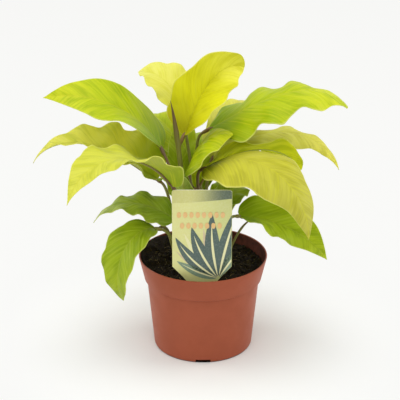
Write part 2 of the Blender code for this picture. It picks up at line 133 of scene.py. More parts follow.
@dataclass(frozen=True)
class LeafFinish:
    """Living calathea leaf: grown, waxy and a little see-through.

    To the eye it is a satin skin with a soft window-like sheen, fine streaks along its lateral
    veins, a pale midrib and a thin cream margin. Light from behind turns it yellower.
    """

    name: str
    foot: str                  # colour by the stalk
    body: str                  # colour of the middle
    tip: str                   # colour of the last third
    under: str = "#b3b95a"     # matt, greyer underside
    glow: str = "#d6de1e"      # what light from behind turns it to
    streak: str = "#dedd34"    # pale streaks along the veins
    shade: str = "#55700a"     # darker streaks between them
    vein_spacing: float = 5.2  # mm between the lateral veins that show
    streak_width: float = 3.0  # mm across the soft colour streaks
    cloud_size: float = 16.0   # mm across one cloud of colour, from the leaf's own growth
    margin: str = "#ecea8c"
    gloss_roughness: float = 0.40
    matt_roughness: float = 0.62
    sheen: float = 0.14
    see_through: float = 0.32

    def upper(self) -> bpy.types.Material:
        """The leaf's upper side."""
        return material_named(f"living leaf, {self.name}", lambda tree: self.skin(tree, True))

    def underside(self) -> bpy.types.Material:
        """The leaf's underside: paler, greyer and matt."""
        return material_named(f"leaf underside, {self.name}", lambda tree: self.skin(tree, False))

    def skin(self, tree: bpy.types.NodeTree, upper: bool) -> bpy.types.Node:
        """Build one side's shader.

        Args:
            tree: The material's node tree.
            upper: Whether it is the upper side.

        Returns:
            The shader's last node.
        """
        place = add_node(tree, "ShaderNodeUVMap", uv_map="leaf").outputs[0]
        along, across = add_node(tree, "ShaderNodeSeparateXYZ", inputs={0: place}).outputs[:2]
        veins = add_node(tree, "ShaderNodeUVMap", uv_map="veins").outputs[0]
        along_mm, across_mm = add_node(tree, "ShaderNodeSeparateXYZ", inputs={0: veins}).outputs[:2]
        from_midrib = add_node(tree, "ShaderNodeMath", operation='ABSOLUTE',
                               inputs={0: across_mm}).outputs[0]
        side = add_node(tree, "ShaderNodeMath", operation='MULTIPLY_ADD',
                        inputs={0: across, 1: 2.0, 2: -1.0}).outputs[0]
        to_margin = add_node(tree, "ShaderNodeMath", operation='ABSOLUTE',
                             inputs={0: side}).outputs[0]

        # Soft streaks: noise drawn out along the veins, a few millimetres wide
        drawn_out = add_node(tree, "ShaderNodeMapping", inputs={
            "Vector": veins, "Scale": (1 / self.streak_width, 0.035, 1.0)})
        streaks = add_node(tree, "ShaderNodeTexNoise", noise_dimensions='2D', inputs={
            "Vector": drawn_out.outputs[0], "Scale": 1.0, "Detail": 3.0,
            "Roughness": 0.6}).outputs[0]
        clouds = add_node(tree, "ShaderNodeTexNoise", noise_dimensions='2D', inputs={
            "Vector": veins, "Scale": 1 / self.cloud_size, "Detail": 2.0}).outputs[0]
        turns = add_node(tree, "ShaderNodeMath", operation='MULTIPLY',
                         inputs={0: along_mm, 1: 2 * math.pi / self.vein_spacing}).outputs[0]
        ridge = add_node(tree, "ShaderNodeMath", operation='COSINE', inputs={0: turns}).outputs[0]

        colour = tinted(
            tree, self.foot,
            (self.body if upper else self.under, along, 0.02, 0.34, 0.0, 1.0),
            (self.tip if upper else self.under, along, 0.45, 0.95, 0.0, 1.0),
            (self.shade, clouds, 0.45, 0.70, 0.0, 0.5),
            (self.streak, streaks, 0.50, 0.72, 0.0, 0.42),
            (self.shade, streaks, 0.50, 0.30, 0.0, 0.42),
            (self.streak, ridge, 0.90, 1.0, 0.0, 0.07 if upper else 0.15),
            (self.streak if upper else self.under, from_midrib, 1.0, 0.3, 0.0, 0.35),
            (self.margin, to_margin, 0.95, 0.99, 0.0, 0.5))
        height = add_node(tree, "ShaderNodeMath", operation='MULTIPLY_ADD',
                          inputs={0: ridge, 1: 0.08, 2: streaks}).outputs[0]
        bump = add_node(tree, "ShaderNodeBump", inputs={
            "Height": height, "Strength": 0.35, "Distance": 0.0004}).outputs[0]
        skin = add_node(tree, "ShaderNodeBsdfPrincipled", inputs={
            "Base Color": colour, "Normal": bump, "Specular IOR Level": self.sheen,
            "Roughness": self.gloss_roughness if upper else self.matt_roughness})
        glow = add_node(tree, "ShaderNodeMix", data_type='RGBA', clamp_factor=True, inputs={
            0: 0.5, 6: colour, 7: linear(self.glow)}).outputs[2]
        through = add_node(tree, "ShaderNodeBsdfTranslucent",
                           inputs={"Color": glow, "Normal": bump})
        return add_node(tree, "ShaderNodeMixShader", inputs={
            0: self.see_through, 1: skin.outputs[0], 2: through.outputs[0]})


class Tone(Enum):
    """How old a leaf is, which sets its colours. Three tones are lightened as painted light and one
    holds painted shade.
    """

    PRIMROSE = LeafFinish("primrose", foot="#e1dd40", body="#f4ee6c", tip="#f7f480",
                          shade="#dad53d", see_through=0.35)
    YELLOW = LeafFinish("yellow", foot="#b9b50d", body="#f0ec24", tip="#fbf660", shade="#d4cf10")
    LIME = LeafFinish("lime", foot="#7ea208", body="#bfd016", tip="#e0e634", shade="#98b408")
    PALE = LeafFinish("pale", foot="#92a81e", body="#dddf4e", tip="#e9e75d", shade="#b9bf2d")
    # This tone is the leaf's colour lightened as painted light: left_mid lies in left_top's shade.
    PEAR_PAINTED_LIGHT = LeafFinish("pear", foot="#8fae1a", body="#e8e868", tip="#f1ee84", shade="#bcc63a",
                      under="#e4e37c", glow="#f0ee70", see_through=0.5)
    OCHRE = LeafFinish("ochre", foot="#c6c650", body="#e6e268", tip="#f4eb64", shade="#c6c14c",
                       under="#d6d470")
    # This tone's dark olive foot is painted shade, where the blade's base lies in the clump's
    # shadow.
    GOLD_PAINTED_SHADE = LeafFinish("gold", foot="#6e740c", body="#cdc840", tip="#cdc858", shade="#aeaa24")
    BRIGHT = LeafFinish("bright", foot="#72900a", body="#b6c60c", tip="#c8d010", shade="#86a008",
                        under="#c6cc2a")
    # This tone's bright yellow underside is painted light, standing in for light shining through
    # the blade.
    ZEST_PAINTED_LIGHT = LeafFinish("zest", foot="#7c9c0a", body="#c6d010", tip="#d6dc14", shade="#94aa0a",
                      under="#e6ea38", glow="#f4f430", see_through=0.6)
    # This tone is the leaf's green lightened as painted light: right_low lies in right_front's
    # shade.
    FRESH = LeafFinish("fresh", foot="#8eac16", body="#b8cf1c", tip="#bccc2e", shade="#7c9c0c",
                       under="#b2c24e", streak="#c8d648")
    GREEN = LeafFinish("green", foot="#869e1c", body="#a3ba1e", tip="#b3c42f", shade="#76930f",
                       under="#a7b950", streak="#c6d24c")
    DEEP = LeafFinish("deep", foot="#84a422", body="#aac038", tip="#c4ce7c", shade="#6d9018",
                      under="#aabb58", streak="#bccb60")


@dataclass(frozen=True)
class StalkFinish:
    """Living leaf stalk: grown, ribbed and slightly hairy.

    To the eye it is olive with a satin skin and brown streaks, browner at the swollen joint below
    the blade and pale green where it runs on as the blade's midrib.
    """

    name: str = "living stalk"
    foot: str = "#8c8e4a"
    shaft: str = "#84813c"
    joint: str = "#7f6030"
    rib: str = "#a9b03c"
    streak: str = "#6f6436"
    roughness: float = 0.5
    streak_length: float = 9.0     # mm along the stalk
    streak_width: float = 0.9      # mm across it

    def material(self) -> bpy.types.Material:
        """The stalk's material."""
        return material_named(self.name, self.skin)

    def skin(self, tree: bpy.types.NodeTree) -> bpy.types.Node:
        """Build the stalk's shader.

        Args:
            tree: The material's node tree.

        Returns:
            The shader's last node.
        """
        place = add_node(tree, "ShaderNodeUVMap", uv_map="stem").outputs[0]
        along = add_node(tree, "ShaderNodeSeparateXYZ", inputs={0: place}).outputs[0]
        position = add_node(tree, "ShaderNodeTexCoord").outputs["Object"]
        across = 1 / (self.streak_width * MM)
        drawn_out = add_node(tree, "ShaderNodeMapping", inputs={
            "Vector": position, "Scale": (across, across, 1 / (self.streak_length * MM))})
        ribs = add_node(tree, "ShaderNodeTexNoise", inputs={
            "Vector": drawn_out.outputs[0], "Scale": 1.0, "Detail": 2.0}).outputs[0]
        colour = tinted(tree, self.foot,
                        (self.shaft, along, 0.05, 0.55, 0.0, 1.0),
                        (self.joint, along, 0.80, 0.97, 0.0, 1.0),
                        (self.rib, along, 1.0, 1.35, 0.0, 1.0),
                        (self.streak, ribs, 0.4, 0.7, 0.0, 0.35))
        bump = add_node(tree, "ShaderNodeBump", inputs={
            "Height": ribs, "Strength": 0.4, "Distance": 0.0003}).outputs[0]
        return add_node(tree, "ShaderNodeBsdfPrincipled", inputs={
            "Base Color": colour, "Roughness": self.roughness, "Normal": bump})


@dataclass(frozen=True)
class SurfaceFinish:
    """A solid surface with a mottled colour, its own grain and even gloss."""

    name: str
    colour: str
    fleck: str                 # the mottling's colour
    mottle: float              # how strongly it shows, 0 to 1
    mottle_size: float         # mm across one patch
    grain_size: float          # mm across one grain of the surface
    grain_depth: float         # mm
    roughness: float
    specular: float = 0.5

    def material(self) -> bpy.types.Material:
        """The surface's material."""
        return material_named(self.name, self.surface)

    def surface(self, tree: bpy.types.NodeTree) -> bpy.types.Node:
        """Build the surface's shader.

        Args:
            tree: The material's node tree.

        Returns:
            The shader's last node.
        """
        place = add_node(tree, "ShaderNodeTexCoord").outputs["Object"]
        patches = add_node(tree, "ShaderNodeTexNoise", inputs={
            "Vector": place, "Scale": 1 / (self.mottle_size * MM), "Detail": 4.0,
            "Roughness": 0.6}).outputs[0]
        grains = add_node(tree, "ShaderNodeTexNoise", inputs={
            "Vector": place, "Scale": 1 / (self.grain_size * MM), "Detail": 2.0}).outputs[0]
        sheen = add_node(tree, "ShaderNodeMapRange", interpolation_type='SMOOTHSTEP', inputs={
            "Value": patches, "From Min": 0.3, "From Max": 0.7,
            "To Min": self.roughness - 0.04, "To Max": self.roughness + 0.05}).outputs["Result"]
        bump = add_node(tree, "ShaderNodeBump", inputs={
            "Height": grains, "Strength": 0.5, "Distance": self.grain_depth * MM}).outputs[0]
        return add_node(tree, "ShaderNodeBsdfPrincipled", inputs={
            "Base Color": tinted(tree, self.colour,
                                 (self.fleck, patches, 0.35, 0.7, 0.0, self.mottle)),
            "Roughness": sheen, "Specular IOR Level": self.specular, "Normal": bump})


# Polypropylene, injection moulded: satin, terracotta-coloured all through, faintly cloudy
POT_PLASTIC = SurfaceFinish("moulded terracotta polypropylene", "#9d4e32", "#91472c", 0.5,
                            mottle_size=22, grain_size=0.9, grain_depth=0.03, roughness=0.46,
                            specular=0.25)
# The same plastic inside the pot: dulled and darkened partly by wet peat and partly as painted
# shade
DUST_AND_PAINTED_SHADE_PLASTIC = SurfaceFinish("peat-dusted polypropylene", "#5c2918", "#2a160d", 0.7,
                              mottle_size=6, grain_size=0.8, grain_depth=0.1, roughness=0.7,
                              specular=0.2)
# Moist peat: near black, crumbly and matt, with brown specks
MOIST_PEAT = SurfaceFinish("moist peat", "#140e08", "#33230f", 0.5,
                           mottle_size=2.2, grain_size=0.8, grain_depth=0.5, roughness=0.9,
                           specular=0.25)
# Loose crumbs of peat: a shade drier and browner
PEAT_CRUMB = SurfaceFinish("peat crumb", "#130d07", "#473a20", 0.65,
                           mottle_size=4.0, grain_size=0.5, grain_depth=0.2, roughness=0.9,
                           specular=0.25)
# Root and moss fibres: straw brown, matt
PEAT_FIBRE = SurfaceFinish("dry moss fibre", "#94824e", "#5b4726", 0.6,
                           mottle_size=3, grain_size=0.4, grain_depth=0.05, roughness=0.8)
# Rhizome skin: brown and scaly with greenish young growth
RHIZOME_SKIN = SurfaceFinish("rhizome skin", "#4a3a20", "#66682e", 0.6,
                             mottle_size=5, grain_size=1.2, grain_depth=0.3, roughness=0.7)


@dataclass(frozen=True)
class PrintFinish:
    """Offset print under a clear gloss film on thin card: smooth, bright and a little reflective.

    A print can run from its colour to a second one across the card.
    """

    name: str
    colour: str
    far_colour: str = ""
    fade_from: float = 0.0     # mm along X where the change starts and ends
    fade_to: float = 1.0
    roughness: float = 0.34
    fibre_size: float = 1.5    # mm across the card's fibres

    def material(self) -> bpy.types.Material:
        """The print's material."""
        return material_named(self.name, self.film)

    def film(self, tree: bpy.types.NodeTree) -> bpy.types.Node:
        """Build the print's shader.

        Args:
            tree: The material's node tree.

        Returns:
            The shader's last node.
        """
        place = add_node(tree, "ShaderNodeTexCoord").outputs["Object"]
        left_to_right = add_node(tree, "ShaderNodeSeparateXYZ", inputs={0: place}).outputs[0]
        fibres = add_node(tree, "ShaderNodeTexNoise", inputs={
            "Vector": place, "Scale": 1 / (self.fibre_size * MM), "Detail": 3.0}).outputs[0]
        colour = tinted(tree, self.colour,
                        (self.far_colour or self.colour, left_to_right, self.fade_from * MM,
                         self.fade_to * MM, 0.0, 1.0),
                        ("#ffffff", fibres, 0.4, 0.8, 0.0, 0.08))
        bump = add_node(tree, "ShaderNodeBump", inputs={
            "Height": fibres, "Strength": 0.2, "Distance": 0.00003}).outputs[0]
        return add_node(tree, "ShaderNodeBsdfPrincipled", inputs={
            "Base Color": colour, "Roughness": self.roughness, "Normal": bump})


# ---------------------------------------------------------------- modelling: the shared tools

def deselect() -> None:
    """Deselect every object."""
    bpy.ops.object.select_all(action='DESELECT')


def make_active(piece: bpy.types.Object) -> None:
    """Select one object alone and make it active.

    Args:
        piece: The object.
    """
    deselect()
    piece.select_set(True)
    bpy.context.view_layer.objects.active = piece


def points_of(piece: bpy.types.Object) -> np.ndarray:
    """Read a mesh's points, one row each, in metres.

    Args:
        piece: The mesh object.

    Returns:
        One row for each point.
    """
    flat = np.empty(3 * len(piece.data.vertices))
    piece.data.vertices.foreach_get("co", flat)
    return flat.reshape(-1, 3)


def place_points(piece: bpy.types.Object, points: np.ndarray) -> None:
    """Give a mesh its points, in metres."""
    piece.data.vertices.foreach_set("co", np.ascontiguousarray(points, float).ravel())
    piece.data.update()


def write_uv(piece: bpy.types.Object, name: str, values: np.ndarray) -> None:
    """Store two numbers for each point as a UV map.

    Args:
        piece: The mesh object.
        name: The map's name.
        values: One row of two numbers for each point.
    """
    layer = piece.data.uv_layers.get(name) or piece.data.uv_layers.new(name=name)
    corners = np.empty(len(piece.data.loops), int)
    piece.data.loops.foreach_get("vertex_index", corners)
    layer.uv.foreach_set("vector", values[corners].ravel())


def apply_modifier(piece: bpy.types.Object, kind: str, **settings) -> None:
    """Add a modifier with its settings and apply it.

    Args:
        piece: The mesh object.
        kind: The modifier's type.
        settings: The modifier's own settings.
    """
    make_active(piece)
    modifier = piece.modifiers.new(kind.lower(), kind)
    for name, value in settings.items():
        setattr(modifier, name, value)
    bpy.ops.object.modifier_apply(modifier=modifier.name)


def close_and_turn_out(piece: bpy.types.Object, merge: float = 0.00001, fill: bool = False) -> None:
    """Merge doubled points, close holes if asked to, and point all faces outwards.

    Args:
        piece: The mesh object.
        merge: Points nearer than this many metres become one.
        fill: Whether open ends get a face.
    """
    make_active(piece)
    bpy.ops.object.mode_set(mode='EDIT')
    bpy.ops.mesh.select_all(action='SELECT')
    bpy.ops.mesh.remove_doubles(threshold=merge)
    if fill:
        bpy.ops.mesh.fill_holes(sides=0)
    bpy.ops.mesh.select_all(action='SELECT')
    bpy.ops.mesh.normals_make_consistent(inside=False)
    bpy.ops.object.mode_set(mode='OBJECT')


def shade(piece: bpy.types.Object, angle: float = 40.0) -> None:
    """Shade a piece smooth, with edges sharper than an angle in degrees kept."""
    make_active(piece)
    bpy.ops.object.shade_smooth_by_angle(angle=math.radians(angle))


def dress(piece: bpy.types.Object, *materials: bpy.types.Material) -> None:
    """Give a piece its materials, in slot order.

    Args:
        piece: The mesh object.
        materials: The material of each slot.
    """
    piece.data.materials.clear()
    for material in materials:
        piece.data.materials.append(material)


def put_in_place(piece: bpy.types.Object, slot: str, *nodes: str) -> None:
    """Let a finished piece ride on the plant and stand for its CAD nodes.

    Args:
        piece: The finished piece.
        slot: Not used.
        nodes: The CAD nodes that it replaces.
    """
    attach(piece, ROOT)
    if nodes:
        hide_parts(*nodes)
    log.info("%s: %d faces", piece.name, len(piece.data.polygons))


def flat_grid(name: str, along: int,
              across: int) -> tuple[bpy.types.Object, np.ndarray, np.ndarray]:
    """Add a grid primitive that a formula then shapes.

    Args:
        name: The piece's name.
        along: Faces along it.
        across: Faces across it.

    Returns:
        The piece, and for each point its place along, 0 to 1, and across, -1 to 1.
    """
    deselect()
    bpy.ops.mesh.primitive_grid_add(x_subdivisions=along, y_subdivisions=across, size=2)
    piece = bpy.context.object
    piece.name = name
    points = points_of(piece)
    return piece, (points[:, 0] + 1) / 2, points[:, 1]


def lathe(name: str, profile: list[tuple[float, float]], segments: int) -> bpy.types.Object:
    """Turn a profile round the Z axis, by extruding and scaling a circle from point to point.

    Args:
        name: The piece's name.
        profile: Radius and height of each point in millimetres, from axis to axis.
        segments: Faces around.

    Returns:
        The closed piece.
    """
    deselect()
    pole = 0.001                                    # radius of the ring that becomes a pole
    rings = [(max(radius, pole), height) for radius, height in profile]
    radius, height = rings[0]
    bpy.ops.mesh.primitive_circle_add(vertices=segments, radius=radius * MM,
                                      location=(0, 0, height * MM))
    piece = bpy.context.object
    piece.name = name
    bpy.ops.object.mode_set(mode='EDIT')
    bpy.ops.mesh.select_all(action='SELECT')
    for next_radius, next_height in rings[1:]:
        rise = (next_height - height) * MM
        bpy.ops.mesh.extrude_region_move(TRANSFORM_OT_translate={"value": (0, 0, rise)})
        growth = next_radius / radius
        bpy.ops.transform.resize(value=(growth, growth, 1),
                                 center_override=(0, 0, next_height * MM))
        radius, height = next_radius, next_height
    bpy.ops.object.mode_set(mode='OBJECT')
    bpy.ops.object.transform_apply(location=True, rotation=True, scale=True)
    close_and_turn_out(piece)
    return piece


def arc(centre: tuple[float, float], radius: float, start: float, end: float, steps: int
        ) -> list[tuple[float, float]]:
    """Points of an arc in a profile, from one angle to another, in degrees.

    Args:
        centre: The arc's centre, radius and height.
        radius: The arc's own radius.
        start: The first angle.
        end: The last angle.
        steps: How many points.

    Returns:
        The radius and height of each point.
    """
    return [(centre[0] + radius * math.cos(math.radians(angle)),
             centre[1] + radius * math.sin(math.radians(angle)))
            for angle in np.linspace(start, end, steps)]


def joined(name: str, parts: list[bpy.types.Object]) -> bpy.types.Object:
    """Join several mesh objects into one piece with a name.

    Args:
        name: The piece's name.
        parts: What is joined. The first one becomes the piece.

    Returns:
        The piece.
    """
    make_active(parts[0])
    for part in parts:
        part.select_set(True)
    bpy.ops.object.join()
    piece = bpy.context.object
    piece.name = name
    return piece


def scatter(name: str, model: bpy.types.Object, places: list[Matrix]) -> bpy.types.Object:
    """Copy a model to many places and join the copies.

    Args:
        name: The new piece's name.
        model: What is copied. It is removed afterwards.
        places: Each copy's place, turn and size.

    Returns:
        The joined piece.
    """
    copies = []
    for place in places:
        copy = model.copy()
        copy.data = model.data.copy()
        copy.data.transform(place)
        bpy.context.scene.collection.objects.link(copy)
        copies.append(copy)
    bpy.data.objects.remove(model)
    return joined(name, copies)


def tube(name: str, path: np.ndarray, radii: np.ndarray, place: np.ndarray, sides: int = 14
         ) -> bpy.types.Object:
    """Wrap a grid round a path into a closed round stem.

    Args:
        name: The piece's name.
        path: Points of the centre line in millimetres.
        radii: The stem's radius at each point.
        place: How far along the stem each point counts as, stored in the UV map "stem".
        sides: Faces around.

    Returns:
        The stem.
    """
    piece, along, around = flat_grid(name, len(path) - 1, sides)
    station = np.rint(along * (len(path) - 1)).astype(int)
    angle = math.pi * (around + 1)
    ahead = np.gradient(path, axis=0)
    ahead /= np.linalg.norm(ahead, axis=1)[:, None]
    first = np.cross(ahead[0], (0.0, 1.0, 0.0))
    sideways = []
    for direction in ahead:
        first = first - direction * np.dot(first, direction)
        first = first / np.linalg.norm(first)
        sideways.append(first)
    sideways = np.array(sideways)
    upwards = np.cross(ahead, sideways)
    ring = (sideways[station] * np.cos(angle)[:, None] + upwards[station] * np.sin(angle)[:, None])
    place_points(piece, (path[station] + ring * radii[station][:, None]) * MM)
    write_uv(piece, "stem", np.column_stack((place[station], (around + 1) / 2)))
    close_and_turn_out(piece, merge=0.000001, fill=True)
    shade(piece, 60)
    return piece


def smooth_path(start: np.ndarray, start_tangent: np.ndarray, end: np.ndarray,
                end_tangent: np.ndarray, stiffness: float, count: int) -> np.ndarray:
    """Points of a smooth curve with the given end directions.

    Args:
        start: Where it starts.
        start_tangent: Its direction there.
        end: Where it ends.
        end_tangent: Its direction there.
        stiffness: How far it keeps its direction at each end.
        count: How many points.

    Returns:
        One row for each point.
    """
    reach = np.linalg.norm(end - start) * stiffness
    u = np.linspace(0, 1, count)[:, None]
    return ((2 * u ** 3 - 3 * u ** 2 + 1) * start
            + (u ** 3 - 2 * u ** 2 + u) * reach * start_tangent
            + (3 * u ** 2 - 2 * u ** 3) * end
            + (u ** 3 - u ** 2) * reach * end_tangent)


# ---------------------------------------------------------------- pot

@dataclass
class NurseryPot:
    """Thin moulded 12 cm pot: foot ring with notches, body, step, collar and rim."""

    height: float = 91.0
    rim_radius: float = 60.0
    collar_foot_radius: float = 55.3
    collar_height: float = 21.0
    step_height: float = 5.0
    body_top_radius: float = 52.4
    base_radius: float = 46.3
    wall: float = 1.3
    floor_height: float = 4.4
    foot_ring_width: float = 6.0
    pad_radius: float = 12.0
    corner: float = 2.6
    lip: float = 1.0
    notch_count: int = 3
    notch_width: float = 14.0
    notch_height: float = 3.2
    hole_count: int = 8
    hole_radius: float = 3.5
    hole_ring: float = 27.0
    segments: int = 144

    def inner_wall(self, height: float) -> float:
        """Radius of the inner wall at a height.

        Args:
            height: The height above the ground.

        Returns:
            The radius.
        """
        step_top = self.height - self.collar_height
        heights = (0.0, step_top - self.step_height, step_top, self.height)
        radii = (self.base_radius, self.body_top_radius, self.collar_foot_radius, self.rim_radius)
        return float(np.interp(height, heights, radii)) - self.wall

    def profile(self) -> list[tuple[float, float]]:
        """The wall's section, from the middle of the underside round to the floor's middle."""
        step_top = self.height - self.collar_height
        step_bottom = step_top - self.step_height
        floor_top = self.floor_height + self.wall
        ring_inner = self.base_radius - self.corner - self.foot_ring_width
        below = [(0.0, 0.0), (self.pad_radius, 0.0), (self.pad_radius + 1, self.floor_height),
                 (ring_inner, self.floor_height), (ring_inner + 1, 0.3), (ring_inner + 1.4, 0.0)]
        outside = arc((self.base_radius - self.corner, self.corner), self.corner, -90, -4, 9)
        outside += [(self.body_top_radius, step_bottom),
                    (self.body_top_radius, step_top - 2.9),
                    (self.body_top_radius + 0.4, step_top - 2.3),
                    (self.collar_foot_radius - 0.9, step_top - 1.7),
                    (self.collar_foot_radius - 0.2, step_top - 1.2),
                    (self.collar_foot_radius, step_top)]
        rim = arc((self.rim_radius - self.wall / 2, self.height - self.lip),
                  self.wall / 2, 0, 180, 9)
        inside = [(self.inner_wall(height), height)
                  for height in (step_top, step_bottom, 10.0, floor_top + 2)]
        inside += [(self.inner_wall(floor_top) - 1.0, floor_top + 0.5),
                   (self.inner_wall(floor_top) - 3.0, floor_top), (0.0, floor_top)]
        return below + outside + rim + inside

    @staticmethod
    def turns(count: int) -> list[Matrix]:
        """Even turns about the pot's axis, the first to the front."""
        return [Matrix.Rotation(math.radians(-90 + 360 / count * index), 4, 'Z')
                for index in range(count)]

    def cutters(self) -> bpy.types.Object:
        """The notches in the foot ring and the drain holes, as one cutting tool."""
        tools = []
        for turn in self.turns(self.notch_count):
            deselect()
            bpy.ops.mesh.primitive_cube_add(size=MM)
            notch = bpy.context.object
            size = Matrix.Diagonal((3 * self.foot_ring_width, self.notch_width,
                                    2 * self.notch_height, 1))
            notch.data.transform(turn @ Matrix.Translation((self.base_radius * MM, 0, 0)) @ size)
            tools.append(notch)
        for turn in self.turns(self.hole_count):
            deselect()
            bpy.ops.mesh.primitive_cylinder_add(vertices=24, radius=self.hole_radius * MM,
                                                depth=8 * MM)
            hole = bpy.context.object
            centre = Vector((self.hole_ring, 0, self.floor_height)) * MM
            hole.data.transform(turn @ Matrix.Translation(centre))
            tools.append(hole)
        return joined("pot_cutters", tools)

    def build(self) -> None:
        """Turn the wall, cut the openings and dress outside and inside."""
        pot = lathe("nursery_pot", self.profile(), self.segments)
        tool = self.cutters()
        apply_modifier(pot, 'BOOLEAN', operation='DIFFERENCE', solver='EXACT', object=tool)
        bpy.data.objects.remove(tool)
        dress(pot, POT_PLASTIC.material(), DUST_AND_PAINTED_SHADE_PLASTIC.material())
        # Inward faces between floor and lip take the darker plastic: peat dust, and painted shade
        # inside the pot.
        for face in pot.data.polygons:
            outwards = face.normal.x * face.center.x + face.normal.y * face.center.y
            above_floor = face.center.z > (self.floor_height + 0.5) * MM
            below_lip = face.center.z < (self.height - 2) * MM
            face.material_index = int(above_floor and below_lip and outwards <= 0)
        shade(pot, 30)
        put_in_place(pot, "pot_plastic", "pot")


# ---------------------------------------------------------------- peat and rhizome

@dataclass
class PeatFill:
    """Moist peat: an uneven, crumbly surface heaped at the back left, with loose crumbs."""

    pot: NurseryPot
    top: float = 80.0
    heap: float = 11.5
    heap_azimuth: float = 152.0
    heap_spread: float = 46.0       # how far the heap reaches round the wall
    unevenness: float = 1.9
    lumpiness: float = 2.3          # height of the crumbly relief
    rings: int = 64
    spokes: int = 168
    crumbs: int = 950
    fibres: int = 190
    seed: int = 7

    def height(self, x: float, y: float) -> float:
        """Height of the smooth surface at a place.

        Args:
            x: The place along X.
            y: The place along Y.

        Returns:
            The height above the ground.
        """
        azimuth = math.degrees(math.atan2(y, x))
        off = (azimuth - self.heap_azimuth + 180) % 360 - 180
        reach = math.hypot(x, y) / self.pot.rim_radius
        heap = self.heap * math.exp(-(off / self.heap_spread) ** 2) * max(0.0, reach - 0.55) / 0.4
        bumps = math.sin(x / 6.5 + 1.0) * math.cos(y / 7.5) + 0.5 * math.sin((x - y) / 4.0)
        return self.top + heap + self.unevenness * bumps * 0.6

    def relief(self, x: float, y: float) -> float:
        """Height of the crumbly surface at a place."""
        lumps = noise.fractal(Vector((x / 4.5, y / 4.5, 3.1)), 0.7, 2.1, 4)
        return self.height(x, y) + self.lumpiness * lumps

    def random_place(self, rng: np.random.Generator, margin: float) -> tuple[float, float]:
        """Draw a place on the peat, at least a margin inside the wall.

        Args:
            rng: Draws first the distance from the middle, then the direction.
            margin: How far inside the wall it stays.

        Returns:
            X and Y of the place.
        """
        reach = (self.pot.inner_wall(self.top) - margin) * math.sqrt(rng.uniform(0.0, 1.0))
        angle = rng.uniform(0, 2 * math.pi)
        return reach * math.cos(angle), reach * math.sin(angle)

    def build_fill(self) -> None:
        """The peat itself: a domed top from a grid, with its side and underside closed."""
        piece, along, across = flat_grid("peat_fill", self.rings + 3, self.spokes)
        ring = np.rint(along * (self.rings + 3)).astype(int)
        azimuth = math.pi * (across + 1)
        bottom = self.pot.floor_height + self.pot.wall + 0.3
        points = []
        for number, angle in zip(ring, azimuth):
            if number <= self.rings:
                share = number / self.rings
                x = share * self.pot.inner_wall(self.top) * math.cos(angle)
                y = share * self.pot.inner_wall(self.top) * math.sin(angle)
                z = self.relief(x, y)
                edge = self.pot.inner_wall(z) - 0.3
                fit = 1 + share ** 6 * (edge / self.pot.inner_wall(self.top) - 1)
                points.append((x * fit, y * fit, z))
            else:
                depth = (60.0, bottom, bottom)[number - self.rings - 1]
                radius = 0.0 if number == self.rings + 3 else self.pot.inner_wall(depth) - 3.0
                points.append((radius * math.cos(angle), radius * math.sin(angle), depth))
        place_points(piece, np.array(points) * MM)
        close_and_turn_out(piece)
        dress(piece, MOIST_PEAT.material())
        shade(piece, 50)
        put_in_place(piece, "potting_soil", "soil")

    def build_crumbs(self) -> None:
        """Loose crumbs: one jagged lump, copied in many sizes and turns."""
        rng = np.random.default_rng(self.seed)
        deselect()
        bpy.ops.mesh.primitive_ico_sphere_add(subdivisions=1, radius=MM)
        crumb = bpy.context.object
        place_points(crumb, points_of(crumb)
                     * rng.uniform(0.75, 1.25, (len(crumb.data.vertices), 1)))
        places = []
        for _ in range(self.crumbs):
            x, y = self.random_place(rng, 2.5)
            size = rng.uniform(0.5, 1.2) if rng.random() < 0.75 else rng.uniform(1.2, 2.6)
            turn = Matrix.Rotation(rng.uniform(0, math.pi), 4,
                                   Vector(rng.normal(size=3)).normalized())
            shape = Matrix.Diagonal((size, size * rng.uniform(0.6, 1.0),
                                     size * rng.uniform(0.5, 0.9), 1))
            places.append(Matrix.Translation(Vector((x, y, self.relief(x, y) + 0.3 * size)) * MM)
                          @ turn @ shape)
        piece = scatter("peat_crumbs", crumb, places)
        dress(piece, PEAT_CRUMB.material())
        put_in_place(piece, "potting_soil")

    def build_fibres(self) -> None:
        """Moss and root fibres: one thin bent hair, copied over the surface."""
        rng = np.random.default_rng(self.seed + 1)
        bend = np.linspace(-1, 1, 7)
        path = np.column_stack((5 * bend, 1.6 * bend ** 2, 0.5 * np.cos(2 * bend)))
        fibre = tube("fibre", path, 0.16 * (1.15 - bend ** 2), bend, sides=4)
        places = []
        for _ in range(self.fibres):
            x, y = self.random_place(rng, 6)
            turn = Matrix.Rotation(rng.uniform(0, 2 * math.pi), 4, 'Z')
            tilt = Matrix.Rotation(rng.normal(0, 0.35), 4, 'Y')
            size = Matrix.Scale(rng.uniform(0.35, 0.95), 4)
            places.append(Matrix.Translation(Vector((x, y, self.relief(x, y) + 0.4)) * MM)
                          @ turn @ tilt @ size)
        piece = scatter("peat_fibres", fibre, places)
        dress(piece, PEAT_FIBRE.material())
        put_in_place(piece, "potting_soil")

    def build(self) -> None:
        """Build the fill, its crumbs and its fibres."""
        self.build_fill()
        self.build_crumbs()
        self.build_fibres()


